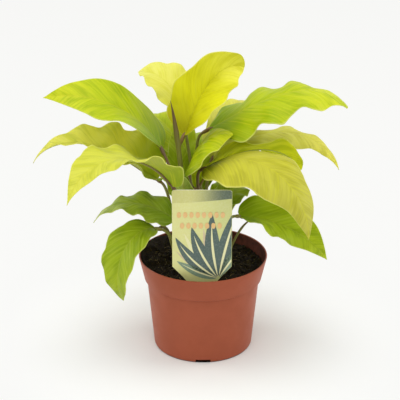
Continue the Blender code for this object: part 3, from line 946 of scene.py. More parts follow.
@dataclass
class Rhizome:
    """The crown that the stalks grow from: a low scaly knob, half sunk in the peat."""

    radius: float = 26.0
    top: float = 82.0
    depth: float = 14.0
    knobs: float = 1.4

    def build(self) -> None:
        """Turn the knob and roughen its sides."""
        profile = [(0.0, self.top - self.depth), (self.radius - 1, self.top - self.depth)]
        profile += arc((self.radius - 4, self.top - 4), 4, 0, 90, 6)
        profile += [(self.radius * share, self.top) for share in (0.7, 0.5, 0.3, 0.12, 0.0)]
        crown = lathe("crown_rhizome", profile, 96)
        points = points_of(crown) / MM
        for point in points:
            lump = noise.noise(Vector(point) / 5.0)
            outward = min(1.0, math.hypot(point[0], point[1]) / self.radius)
            point[:2] *= 1 + 0.05 * lump * outward
            point[2] += self.knobs * (lump - 0.5) * 0.5
        place_points(crown, points * MM)
        dress(crown, RHIZOME_SKIN.material())
        shade(crown, 60)
        put_in_place(crown, "rhizome", "rhizome")


# ---------------------------------------------------------------- label

class Ink(Enum):
    """The label's printed colours."""

    GROUND = PrintFinish("card, pale yellow-green print", "#dbd98f", "#cfd188", -20, 20)
    EDGE = PrintFinish("card, bare cut edge", "#f1eedc", roughness=0.6)
    BAND = PrintFinish("print, green to slate band", "#cbc87c", "#5d6c58", -14, 22)
    TEAL = PrintFinish("print, deep teal", "#4b5f57")
    SAGE = PrintFinish("print, sage", "#7f957a")
    CREAM = PrintFinish("print, cream", "#e6e2ac")
    ROSE = PrintFinish("print, rose beige", "#cdbb96")
    PEACH = PrintFinish("print, peach", "#e3b877")


@dataclass
class PlantLabel:
    """Printed card on a stake: rounded top corners, chamfered foot, leaning outwards."""

    width: float = 53.8
    top: float = 177.0
    centre_x: float = -1.0
    y: float = -46.0
    lean: float = 3.0
    thickness: float = 0.8
    corner: float = 3.0
    chamfer_top: float = 100.0
    chamfer_bottom: float = 89.0
    shoulder_width: float = 34.0
    stake_width: float = 12.0
    stake_top: float = 74.0
    stake_tip: float = 48.0
    bare_edge: float = 0.3         # unprinted strip along the card's edges
    bead_step: float = 5.6
    bead_size: tuple[float, float] = (3.8, 6.0)
    ink: float = 0.05              # how far one print stands above what it lies on

    def lean_back(self, piece: bpy.types.Object) -> None:
        """Lean a piece that was made upright at y = 0 and put it at the label's place.

        Args:
            piece: The upright piece.
        """
        points = points_of(piece) / MM
        points[:, 1] += (self.y - math.tan(math.radians(self.lean))
                         * (points[:, 2] - self.chamfer_bottom))
        place_points(piece, points * MM)

    def build_card(self) -> None:
        """The card: a thin box, its lower end extruded into chamfer, shoulder and stake."""
        deselect()
        height = self.top - self.chamfer_top
        bpy.ops.mesh.primitive_cube_add(size=1)
        card = bpy.context.object
        card.name = "label_card"
        card.data.transform(
            Matrix.Translation(Vector((self.centre_x, 0, self.top - height / 2)) * MM)
            @ Matrix.Diagonal((self.width * MM, self.thickness * MM, height * MM, 1)))
        bpy.ops.object.mode_set(mode='EDIT')
        bpy.ops.mesh.select_mode(type='FACE')
        bpy.ops.mesh.select_all(action='DESELECT')
        bpy.ops.object.mode_set(mode='OBJECT')
        for face in card.data.polygons:
            face.select = face.normal.z < -0.5
        bpy.ops.object.mode_set(mode='EDIT')
        level, width = self.chamfer_top, self.width
        outline = ((self.chamfer_bottom, self.shoulder_width), (self.stake_top, self.stake_width),
                   (self.stake_tip + 8, self.stake_width), (self.stake_tip, self.stake_width / 2))
        for next_level, next_width in outline:
            drop = (next_level - level) * MM
            bpy.ops.mesh.extrude_region_move(TRANSFORM_OT_translate={"value": (0, 0, drop)})
            bpy.ops.transform.resize(value=(next_width / width, 1, 1),
                                     center_override=(self.centre_x * MM, 0, 0))
            level, width = next_level, next_width
        bpy.ops.mesh.select_mode(type='EDGE')
        bpy.ops.mesh.select_all(action='DESELECT')
        bpy.ops.object.mode_set(mode='OBJECT')
        for edge in card.data.edges:
            ends = [card.data.vertices[index].co for index in edge.vertices]
            edge.select = (all(end.z > (self.top - 0.1) * MM for end in ends)
                           and abs(ends[0].y - ends[1].y) > 0.5 * self.thickness * MM)
        bpy.ops.object.mode_set(mode='EDIT')
        bpy.ops.mesh.bevel(offset=self.corner * MM, segments=7, affect='EDGES')
        bpy.ops.object.mode_set(mode='OBJECT')
        close_and_turn_out(card)
        self.lean_back(card)
        dress(card, Ink.GROUND.value.material(), Ink.EDGE.value.material())
        for face in card.data.polygons:
            face.material_index = 0 if abs(face.normal.y) > 0.5 else 1
        shade(card, 30)
        put_in_place(card, "label_card", "plant_label")

    def trim(self, piece: bpy.types.Object) -> None:
        """Cut a print off at the card's edges, round corners and chamfers.

        Args:
            piece: The print, still upright.
        """
        half = self.width / 2 - self.bare_edge
        slope = Vector((self.chamfer_top - self.chamfer_bottom, 0,
                        -(self.width - self.shoulder_width) / 2)).normalized()
        cuts = []
        for side in (-1, 1):
            cuts.append((Vector((self.centre_x + side * half, 0, 0)), Vector((side, 0, 0))))
            cuts.append((Vector((self.centre_x + side * (half - 0.1), 0, self.chamfer_top)),
                         Vector((side * slope.x, 0, slope.z))))
            for angle in np.radians((22.5, 45.0, 67.5)):
                outwards = Vector((side * math.cos(angle), 0, math.sin(angle)))
                turn = Vector((self.centre_x + side * (self.width / 2 - self.corner), 0,
                               self.top - self.corner))
                cuts.append((turn + outwards * (self.corner - self.bare_edge), outwards))
        cuts.append((Vector((0, 0, self.top - self.bare_edge)), Vector((0, 0, 1))))
        cuts.append((Vector((0, 0, self.chamfer_bottom - 6)), Vector((0, 0, -1))))
        make_active(piece)
        bpy.ops.object.mode_set(mode='EDIT')
        for point, direction in cuts:
            bpy.ops.mesh.select_all(action='SELECT')
            bpy.ops.mesh.bisect(plane_co=point * MM, plane_no=direction, clear_outer=True)
        bpy.ops.object.mode_set(mode='OBJECT')

    def print_shape(self, name: str, points: np.ndarray, piece: bpy.types.Object, layer: int,
                    ink: Ink) -> bpy.types.Object:
        """Finish a flat print: trim it, give it a film's thickness and lay it on the card.

        Args:
            name: The piece's name.
            points: X and Z of each of its points in millimetres.
            piece: The flat grid that gets them.
            layer: How many prints lie below it, plus one.
            ink: Its colour.

        Returns:
            The print, still upright.
        """
        depth = -self.thickness / 2 - layer * self.ink
        placed = np.column_stack((points[:, 0], np.full(len(points), depth), points[:, 1]))
        place_points(piece, placed * MM)
        piece.name = name
        self.trim(piece)
        apply_modifier(piece, 'SOLIDIFY', thickness=0.8 * layer * self.ink * MM, offset=0.0)
        close_and_turn_out(piece, merge=0.0000005)
        self.lean_back(piece)
        dress(piece, ink.value.material())
        return piece

    def frond(self, name: str, root: tuple[float, float], heading: float, length: float,
              width: float, curl: float, layer: int, ink: Ink) -> bpy.types.Object:
        """Print one slender leaf that curves away from its root.

        Args:
            name: The piece's name.
            root: X and Z of its root, X from the card's centre line.
            heading: Direction at the root, 0 along +X and 90 upwards.
            length: Its length.
            width: Its greatest width.
            curl: How far its heading turns along it.
            layer: Its layer on the card.
            ink: Its colour.

        Returns:
            The print.
        """
        piece, along, across = flat_grid(name, 28, 4)
        steps = np.linspace(0, 1, 29)
        angle = np.radians(heading + curl * steps)
        line = np.cumsum(np.column_stack((np.cos(angle), np.sin(angle))), axis=0) * length / 29
        half = width / 2 * np.sin(math.pi * steps ** 0.8) ** 0.85
        station = np.rint(along * 28).astype(int)
        side = np.column_stack((-np.sin(angle), np.cos(angle)))
        flat = line[station] + side[station] * (half[station] * across)[:, None]
        flat += np.array((self.centre_x + root[0], root[1]))
        return self.print_shape(name, flat, piece, layer, ink)

    def bead(self, name: str, centre: tuple[float, float]) -> bpy.types.Object:
        """Print one upright oval bead of the rows that stand where a title would.

        Args:
            name: The piece's name.
            centre: X and Z of its middle, X from the card's centre line.

        Returns:
            The print.
        """
        piece, along, across = flat_grid(name, 12, 2)
        half = np.sqrt(np.maximum(1 - (2 * along - 1) ** 2, 0.0))
        width, height = self.bead_size
        flat = np.column_stack((self.centre_x + centre[0] + width / 2 * half * across,
                                centre[1] + (along - 0.5) * height))
        return self.print_shape(name, flat, piece, 6, Ink.PEACH)

    def build_prints(self) -> None:
        """The print: a band on top, a fan of slender leaves, stripes and two rows of beads."""
        band, along, across = flat_grid("band", 24, 2)
        x = (along - 0.5) * self.width
        lower = 164 + 4.5 * along ** 1.5
        z = lower + (self.top - lower) * (across + 1) / 2
        prints = [self.print_shape("band", np.column_stack((self.centre_x + x, z)), band, 1,
                                   Ink.BAND)]
        fan = ((150, 58, 11.5, -34, Ink.TEAL), (128, 58, 13, -26, Ink.TEAL),
               (104, 66, 14, -18, Ink.TEAL), (80, 78, 14, -8, Ink.TEAL),
               (166, 42, 9, -22, Ink.SAGE), (60, 44, 10, -8, Ink.SAGE))
        root = (15, 88)
        for index, (heading, length, width, curl, ink) in enumerate(fan):
            layer = 2 + index % 2
            prints.append(self.frond(f"frond_{index}", root, heading, length, width, curl,
                                     layer, ink))
            prints.append(self.frond(f"frond_line_{index}", root, heading, length * 0.86,
                                     width * 0.16, curl * 0.86, layer + 2, Ink.CREAM))
        for index, (heading, length, width, curl) in enumerate((
                (139, 56, 5.5, -30), (116, 53, 5, -22), (92, 50, 5, -16), (158, 48, 4, -28))):
            ink = Ink.ROSE if index % 2 else Ink.CREAM
            prints.append(self.frond(f"stripe_{index}", root, heading, length, width, curl, 1, ink))
        for row, (level, beads) in enumerate(((152.4, 8), (141.6, 7))):
            for bead in range(beads):
                place = ((bead - (beads - 1) / 2) * self.bead_step - 1.0, level)
                prints.append(self.bead(f"bead_{row}_{bead}", place))
        for piece in prints:
            piece.name = f"label_print_{piece.name}"
            put_in_place(piece, "label_card")

    def build(self) -> None:
        """Build the card and its print."""
        self.build_card()
        self.build_prints()


# ---------------------------------------------------------------- leaves

OLIVE_STALK = StalkFinish()
GREEN_STALK = StalkFinish("green young stalk", foot="#8f9448", shaft="#8b8f3c", joint="#8a8436",
                          rib="#a9b03c")
PURPLE_STALK = StalkFinish("purple-brown stalk", foot="#7d7840", shaft="#735a3e", joint="#644632",
                           rib="#8f8a3c")
SHOOT_FINISH = StalkFinish("young shoot", foot="#7d7a34", shaft="#84803a", joint="#80703c",
                           rib="#8c8a48")
FURLED_FINISH = StalkFinish("furled young leaf", foot="#868a3c", shaft="#7d7c38", joint="#5a4028",
                            rib="#5a4028")

STALK_START = 82.3                 # height at which the stalks leave the rhizome
BLADE_START = 0.012                # the blade's first section, as a part of its length


def foot_point(foot: tuple[float, float]) -> np.ndarray:
    """Point on the rhizome's top, from a radius and an azimuth.

    Args:
        foot: The radius, and the azimuth in degrees.

    Returns:
        The point in millimetres.
    """
    radius, azimuth = foot[0], math.radians(foot[1])
    return np.array((radius * math.cos(azimuth), radius * math.sin(azimuth), STALK_START))


def foot_direction(foot: tuple[float, float], lean: float) -> np.ndarray:
    """Direction in which a stem leaves the rhizome: upright, leaning outwards by an angle.

    Args:
        foot: Radius and azimuth of the stem's foot.
        lean: Its tilt from upright in degrees.

    Returns:
        The direction, of length 1.
    """
    azimuth, tilt = math.radians(foot[1]), math.radians(lean)
    return np.array((math.sin(tilt) * math.cos(azimuth), math.sin(tilt) * math.sin(azimuth),
                     math.cos(tilt)))


@dataclass(frozen=True)
class Leaf:
    """One leaf: where its blade starts, how the blade runs, how it is shaped and its stalk."""

    name: str
    tone: Tone
    base: tuple[float, float, float]
    heading: float             # compass direction of the blade, 0 = +X, 90 = +Y
    rise: float                # slope of the blade where it starts
    droop: float               # how far that slope falls along the blade
    length: float
    width: float
    foot: tuple[float, float]  # radius and azimuth of the stalk's foot on the rhizome
    turn: float = 0.0          # how far the heading swings along the blade
    bend: float = 1.3          # 1 = droops evenly, more = droops near the tip
    roll: float = 0.0          # tilt about the midrib, and how it grows along the blade
    twist: float = 0.0
    fold: float = 12.0         # the halves rise from the midrib by this angle
    cup: float = 0.1           # how far the halves turn down again at the margin
    belly: float = 0.39        # where the blade is widest
    opening: float = 0.6       # power of the outline near the base; smaller is blunter
    ruffle: float = 2.3        # height of the margin's waves
    ripple: float = 0.04       # the same waves in the outline, as a part of the width
    waves: float = 3.7
    phases: tuple[float, float] = (0.0, 0.5)
    stiffness: float = 0.8     # how far the stalk keeps its direction at each end
    lean: float = 10.0         # the stalk's tilt from upright at its foot
    pulvinus: float = 9.0      # length of the swollen joint
    stalk_finish: StalkFinish = OLIVE_STALK

    tip_power: float = 0.6
    blade_end: float = 0.998
    thickness: float = 0.5
    vein_step: float = 1.0         # mm between the mesh's rows, which follow the veins
    columns: int = 28
    vein_sweep: float = 0.2        # how far the mesh's rows sweep towards the tip
    vein_slant: float = 1.25       # the veins' run along the blade for each mm towards the margin
    pleat_depth: float = 0.06      # relief between the lateral veins
    groove_depth: float = 0.45     # relief of the sunken midrib
    pucker: float = 0.5            # uneven growth over the whole blade
    furrow: float = 0.55           # uneven ridges along the veins
    fray: float = 0.02             # unevenness of the margin, as a part of the width
    fray_size: float = 7.0         # mm along the margin
    pucker_size: tuple[float, float] = (17.0, 12.0)    # mm along the blade and across it
    furrow_size: tuple[float, float] = (6.5, 45.0)     # mm along the blade and along a vein
    stalk_radius: float = 1.65
    stalk_neck: float = 0.8
    sheath_radius: float = 2.5
    joint_radius: float = 1.85
    rib_radius: float = 1.1

    def midrib(self, stations: np.ndarray) -> tuple[np.ndarray, np.ndarray, np.ndarray, np.ndarray]:
        """Follow the midrib.

        Args:
            stations: Places along the blade, 0 to 1.

        Returns:
            Points, tangents, side directions and normals, one row for each station.
        """
        fine = np.linspace(0, 1, 401)
        heading = np.radians(self.heading + self.turn * fine)
        slope = np.radians(self.rise - self.droop * fine ** self.bend)
        tangent = np.column_stack((np.cos(slope) * np.cos(heading), np.cos(slope) * np.sin(heading),
                                   np.sin(slope)))
        steps = self.length * (tangent[1:] + tangent[:-1]) / 2 / 400
        points = np.vstack((np.zeros(3), np.cumsum(steps, axis=0)))
        start = np.array([np.interp(BLADE_START, fine, points[:, axis]) for axis in range(3)])
        points = points + np.array(self.base) - start
        level = np.column_stack((np.sin(heading), -np.cos(heading), np.zeros_like(heading)))
        upright = np.cross(level, tangent)
        roll = np.radians(self.roll + self.twist * fine)[:, None]
        side = np.cos(roll) * level + np.sin(roll) * upright
        normal = np.cos(roll) * upright - np.sin(roll) * level
        return tuple(
            np.column_stack([np.interp(stations, fine, rows[:, axis]) for axis in range(3)])
            for rows in (points, tangent, side, normal))

    def half_width(self, stations: np.ndarray) -> np.ndarray:
        """Half the blade's width along it."""
        tip_power = self.tip_power * (1 - self.belly) / self.belly
        return (self.width / 2 * (stations / self.belly) ** self.opening
                * ((1 - stations) / (1 - self.belly)) ** tip_power)

    def build_blade(self) -> None:
        """The blade: a grid whose rows follow the veins, shaped, grooved, pleated and thickened."""
        rows = int(self.length / self.vein_step)
        piece, row, across = flat_grid(f"{self.name}_blade", rows, self.columns)
        start = BLADE_START / 3
        reach = np.abs(across)
        sweep = self.vein_sweep * 4 * row * (1 - row) * (0.55 * reach + 0.45 * reach ** 2)
        stations = start + (self.blade_end - start) * (row + sweep)
        points, _, side, normal = self.midrib(stations)
        half = self.half_width(stations)
        phase = np.where(across < 0, self.phases[0], self.phases[1])
        angle = 2 * np.pi * (self.waves * stations + phase)
        seat = sum(self.base) / 9.0
        uneven = [noise.noise(Vector((s * self.length / self.fray_size, 3 * a, seat)))
                  for s, a in zip(stations, np.sign(across))]
        out = half * across * (1 + self.ripple * np.sin(angle) + self.fray * np.array(uneven))
        ruffle = self.ruffle * np.minimum(1, half / (0.4 * self.width)) ** 1.5
        rise = (np.abs(out) * math.sin(math.radians(self.fold)) - self.cup * np.abs(out * across)
                + ruffle * np.cos(angle) * reach ** 1.5)
        rise += 0.14 * ruffle * np.cos(2.7 * angle + 1.0) * reach ** 4
        vein_mm = stations * self.length - self.vein_slant * np.abs(out)
        soft = np.clip(reach / 0.15, 0, 1) * np.clip((1.02 - reach) / 0.2, 0, 1)
        rise += self.pleat_depth * np.cos(2 * np.pi * vein_mm / self.tone.value.vein_spacing) * soft
        rise -= self.groove_depth * np.exp(-(out / 1.4) ** 2) * (1 - stations) ** 0.5
        lumps = [noise.noise(Vector((s * self.length / self.pucker_size[0],
                                     y / self.pucker_size[1], seat)))
                 for s, y in zip(stations, out)]
        rise += self.pucker * np.array(lumps) * np.clip(half / 8, 0, 1) * reach ** 0.5
        furrows = [noise.noise(Vector((v / self.furrow_size[0], y / self.furrow_size[1], seat + 5)))
                   for v, y in zip(vein_mm, out)]
        rise += self.furrow * np.array(furrows) * np.clip(half / 8, 0, 1) * soft
        flat = out * math.cos(math.radians(self.fold))
        place_points(piece, (points + side * flat[:, None] + normal * rise[:, None]) * MM)
        write_uv(piece, "leaf", np.column_stack((stations, (across + 1) / 2)))
        write_uv(piece, "veins", np.column_stack((vein_mm, out)))
        piece.data.flip_normals()
        dress(piece, self.tone.value.upper(), self.tone.value.underside())
        apply_modifier(piece, 'SOLIDIFY', thickness=self.thickness * MM, offset=0.0,
                       material_offset=1)
        shade(piece, 60)
        put_in_place(piece, "leaf_blade", f"leaf_{self.name}_blade")

    def build_stalk(self) -> None:
        """The stalk: sheath, shaft and swollen joint, running on as the rib under the blade."""
        tangent = self.midrib(np.array((BLADE_START,)))[1][0]
        end = np.array(self.base) - 0.4 * tangent
        joint_at = np.array((1.0, 0.8, 0.6, 0.4, 0.2, 0.0))
        joint = end - tangent * (self.pulvinus * joint_at)[:, None]
        foot = foot_point(self.foot)
        collar = foot + (0, 0, 1.5)
        count = 30
        shaft = smooth_path(collar, foot_direction(self.foot, self.lean), joint[0], tangent,
                            self.stiffness, count)
        share = np.linspace(0, 1, count)
        shaft_radii = (self.stalk_radius * (1 - (1 - self.stalk_neck) * share)
                       + (self.sheath_radius - self.stalk_radius) * np.exp(-(share / 0.22) ** 2))
        joint_radii = np.interp(joint_at[::-1], (0, 0.2, 0.5, 0.8, 1),
                                (self.stalk_radius * self.stalk_neck, 0.9 * self.joint_radius,
                                 self.joint_radius, 0.93 * self.joint_radius,
                                 0.75 * self.joint_radius))
        stations = np.linspace(0.03, 0.93, 34)
        points, _, _, normal = self.midrib(stations)
        rib_radii = self.rib_radius * (1 - stations / 0.96) ** 0.8 + 0.1
        sunk = self.groove_depth * (1 - stations) ** 0.5 + 0.75 * rib_radii
        rib = points - normal * sunk[:, None]
        path = np.vstack((foot, shaft[:-1], joint, rib))
        radii = np.hstack((self.sheath_radius, shaft_radii[:-1], joint_radii, rib_radii))
        place = np.hstack((0.0, share[:-1] * 0.9, 1 - 0.1 * joint_at, 1 + stations))
        piece = tube(f"{self.name}_stalk", path, radii, place)
        dress(piece, self.stalk_finish.material())
        put_in_place(piece, "leaf_stalk", f"leaf_{self.name}_stalk")

    def build(self) -> None:
        """Build the blade and the stalk."""
        self.build_blade()
        self.build_stalk()


# The blade shapes in the first fifteen rows, up to back_right, and front_fold's phases were not
# chosen by hand: a least-squares fit of the blades' outlines gave them.
LEAVES = (
    Leaf("left_top", Tone.LIME, base=(-39, -1, 199), heading=139, turn=69, rise=58, droop=59,
         bend=0.64, length=126, width=69, roll=-37, twist=101, fold=8, cup=0.06, belly=0.34,
         opening=0.46, ruffle=1.7, ripple=0.0, waves=2.2, phases=(0.3, 0.77), foot=(13, 163),
         stalk_finish=PURPLE_STALK),
    Leaf("left_mid", Tone.PEAR_PAINTED_LIGHT, base=(-43, 15, 160), heading=177, turn=-9, rise=36, droop=100,
         bend=2.14, length=136, width=68, roll=4, twist=7, fold=20, cup=-0.1, belly=0.3,
         opening=0.23, ruffle=4.0, ripple=0.05, waves=5.4, phases=(0.89, 0.76), foot=(21, 184),
         pulvinus=5.0, stiffness=0.5, lean=24),
    Leaf("left_front", Tone.PALE, base=(-28, -44, 179), heading=-181, turn=75, rise=66, droop=106,
         bend=0.76, length=137, width=74, roll=-29, twist=51, fold=3, cup=-0.12, belly=0.3,
         opening=0.42, ruffle=2.6, ripple=0.0, waves=5.0, phases=(0.42, 0.33), foot=(20, 228),
         stalk_finish=PURPLE_STALK, stiffness=0.7),
    Leaf("left_low", Tone.DEEP, base=(-26, -15, 133), heading=173, turn=22, rise=34, droop=95,
         bend=1.67, length=86, width=42, roll=30, twist=-51, fold=7, cup=0.17, belly=0.35,
         ruffle=2.2, ripple=0.01, waves=4.3, phases=(0.22, 0.28), foot=(23, 205),
         stalk_finish=PURPLE_STALK),
    Leaf("left_bottom", Tone.GREEN, base=(-44, -29, 130), heading=-139, turn=15, rise=28,
         droop=151, bend=0.84, length=95, width=41, roll=16, twist=-35, cup=0.03, belly=0.45,
         ruffle=1.0, ripple=0.05, waves=4.3, phases=(0.88, 0.55), foot=(24, 222),
         stalk_finish=GREEN_STALK),
    Leaf("top_front", Tone.YELLOW, base=(-17, -6, 213), heading=28, turn=10, rise=65, droop=102,
         bend=2.6, length=96, width=52, roll=-21, twist=-53, fold=30, cup=-0.18, belly=0.42,
         opening=0.59, ruffle=1.9, ripple=0.06, waves=3.8, phases=(0.67, 0.53), foot=(5, 190),
         stiffness=0.35),
    Leaf("top_back", Tone.PRIMROSE, base=(-20, 17, 224), heading=121, turn=27, rise=64, droop=81,
         bend=1.21, length=68, width=50, roll=-8, twist=21, fold=13, cup=-0.03, belly=0.43,
         ruffle=1.9, ripple=0.0, waves=3.5, phases=(0.62, 0.87), foot=(8, 114)),
    Leaf("right_top", Tone.LIME, base=(7, 14, 211), heading=-14, turn=25, rise=34, droop=88,
         bend=2.6, length=142, width=61, roll=-23, twist=26, fold=2, cup=0.28, belly=0.55,
         opening=0.32, ruffle=3.2, ripple=0.14, phases=(0.71, 0.5), foot=(8, 8), stiffness=0.5),
    Leaf("right_back", Tone.OCHRE, base=(33, 45, 185.1), heading=13, turn=-36, rise=20, droop=89,
         bend=1.55, length=113, width=45, roll=8, twist=-31, fold=7, cup=0.4, belly=0.34,
         opening=0.2, ruffle=2.9, ripple=0.0, waves=3.9, phases=(0.32, 0.29), foot=(21, 22),
         stiffness=0.5),
    Leaf("right_mid", Tone.ZEST_PAINTED_LIGHT, base=(-5, 3.3, 157.7), heading=-17, turn=44, rise=63, droop=127,
         bend=1.27, length=125, width=49, roll=21, twist=17, fold=14, cup=0.05, belly=0.42,
         ruffle=4.0, ripple=0.01, waves=3.3, phases=(0.13, 0.62), foot=(9, 290), pulvinus=6.0,
         stiffness=0.5),
    Leaf("right_front", Tone.GOLD_PAINTED_SHADE, base=(2, -23, 187), heading=-36, turn=-8, rise=35, droop=126,
         bend=1.37, length=154, width=66, roll=-8, twist=-3, fold=2, cup=0.29, belly=0.35,
         ruffle=1.0, ripple=0.07, waves=3.3, phases=(0.42, 0.14), foot=(16, 314), pulvinus=6.0,
         stalk_finish=PURPLE_STALK, stiffness=0.5),
    Leaf("right_low", Tone.FRESH, base=(34, -11, 134), heading=12, turn=-75, rise=-4, droop=19,
         bend=0.6, length=98, width=52, roll=-1, twist=-42, fold=18, cup=-0.01, belly=0.35,
         opening=0.42, ruffle=2.6, ripple=0.01, waves=3.2, phases=(0.61, 0.32), foot=(24, 340),
         stalk_finish=GREEN_STALK, pulvinus=4.0, lean=18),
    Leaf("centre", Tone.BRIGHT, base=(-17, -22, 178), heading=8, turn=-6, rise=68, droop=93,
         bend=2.49, length=67, width=47, roll=18, twist=-30, fold=3, cup=0.3, belly=0.46,
         ruffle=1.5, ripple=0.01, waves=2.1, phases=(0.42, 0.87), foot=(17, 288), pulvinus=6.0,
         stiffness=0.4),
    Leaf("right_inner", Tone.DEEP, base=(19, 5, 137), heading=56, turn=5, rise=40, droop=92,
         bend=1.6, length=45, width=32, twist=-28, fold=15, ripple=0.01, waves=3.5,
         phases=(0.2, 0.85), foot=(21, 0)),
    Leaf("back_right", Tone.OCHRE, base=(9, 27, 177), heading=47, turn=24, rise=66, droop=111,
         bend=1.05, length=113, width=42, twist=1, fold=13, cup=0.08, opening=0.51, ruffle=1.5,
         ripple=0.05, phases=(0.73, 0.8), foot=(14, 70)),
    Leaf("back_mid", Tone.GREEN, base=(-4, 21, 144), heading=92, turn=8, rise=62, droop=118,
         bend=1.2, length=116, width=42, phases=(0.7, 0.6), foot=(19, 95)),
    Leaf("back_left", Tone.LIME, base=(-14, 21, 168), heading=124, turn=6, rise=64, droop=118,
         bend=1.2, length=112, width=46, roll=-6, phases=(0.5, 0.8), foot=(20, 140)),
    Leaf("inner_left", Tone.GREEN, base=(-22, 8, 160), heading=115, rise=82, droop=20, length=48,
         width=22, ruffle=1.2, waves=2.5, phases=(0.3, 0.7), foot=(15, 140), stiffness=0.5),
    Leaf("front_fold", Tone.DEEP, base=(-17, -31, 154), heading=-105, rise=84, droop=0, length=29,
         width=19, roll=4, twist=4, fold=6, belly=0.5, opening=0.5, ruffle=0.8, waves=2.0,
         phases=(0.94, 0.67), foot=(21, 270), stiffness=0.5),
    Leaf("low_back_left", Tone.GREEN, base=(-8, 22, 118), heading=108, turn=6, rise=50, droop=100,
         length=84, width=36, ruffle=2.0, waves=3.5, phases=(0.1, 0.6), foot=(23, 112),
         stiffness=0.4),
    Leaf("low_back_right", Tone.GREEN, base=(14, 21, 114), heading=68, turn=-4, rise=60, droop=100,
         length=80, width=32, ruffle=2.0, waves=3.5, phases=(0.6, 0.2), foot=(23, 68),
         stiffness=0.4),
)


@dataclass(frozen=True)
class Shoot:
    """A bare shoot: a slender tapering stem along a smooth curve."""

    name: str
    finish: StalkFinish
    foot: tuple[float, float]  # radius and azimuth on the rhizome
    top: tuple[float, float, float]
    end_rise: float            # slope and compass direction at its top
    end_heading: float
    radius: float
    swell: float               # largest radius, and how far up the shoot it lies
    swell_at: float
    tip_radius: float
    stiffness: float = 0.8
    lean: float = 8.0

    def build(self) -> None:
        """Wrap the stem round its curve, from the foot to the narrow tip."""
        slope, heading = math.radians(self.end_rise), math.radians(self.end_heading)
        tangent = np.array((math.cos(slope) * math.cos(heading),
                            math.cos(slope) * math.sin(heading), math.sin(slope)))
        foot = foot_point(self.foot)
        count = 60
        path = smooth_path(foot + (0, 0, 1.5), foot_direction(self.foot, self.lean),
                           np.array(self.top, float), tangent, self.stiffness, count)
        share = np.linspace(0, 1, count)
        radii = np.interp(share, (0, self.swell_at, 0.97, 1),
                          (self.radius, self.swell, self.tip_radius, 0.15))
        path = np.vstack((foot, path))
        piece = tube(self.name, path, np.hstack((self.radius + 0.6, radii)),
                     np.hstack((0, share ** 0.5)), sides=18)
        dress(piece, self.finish.material())
        put_in_place(piece, "young_leaf", self.name.replace("_piece", ""))


SHOOTS = (
    Shoot("furled_leaf_piece", FURLED_FINISH, foot=(13, 212), top=(-29, -18, 249), end_rise=78,
          end_heading=190, radius=1.6, swell=2.4, swell_at=0.8, tip_radius=0.5),
    Shoot("hooked_shoot_piece", SHOOT_FINISH, foot=(23, 194), top=(-42, -22, 126), end_rise=-35,
          end_heading=200, radius=1.5, swell=1.6, swell_at=0.7, tip_radius=1.0, stiffness=1.0,
          lean=30),
    Shoot("right_shoot_piece", SHOOT_FINISH, foot=(24, 8), top=(45, 8, 122), end_rise=25,
          end_heading=0, radius=1.0, swell=1.2, swell_at=0.7, tip_radius=0.6, lean=6),
)


# ---------------------------------------------------------------- studio

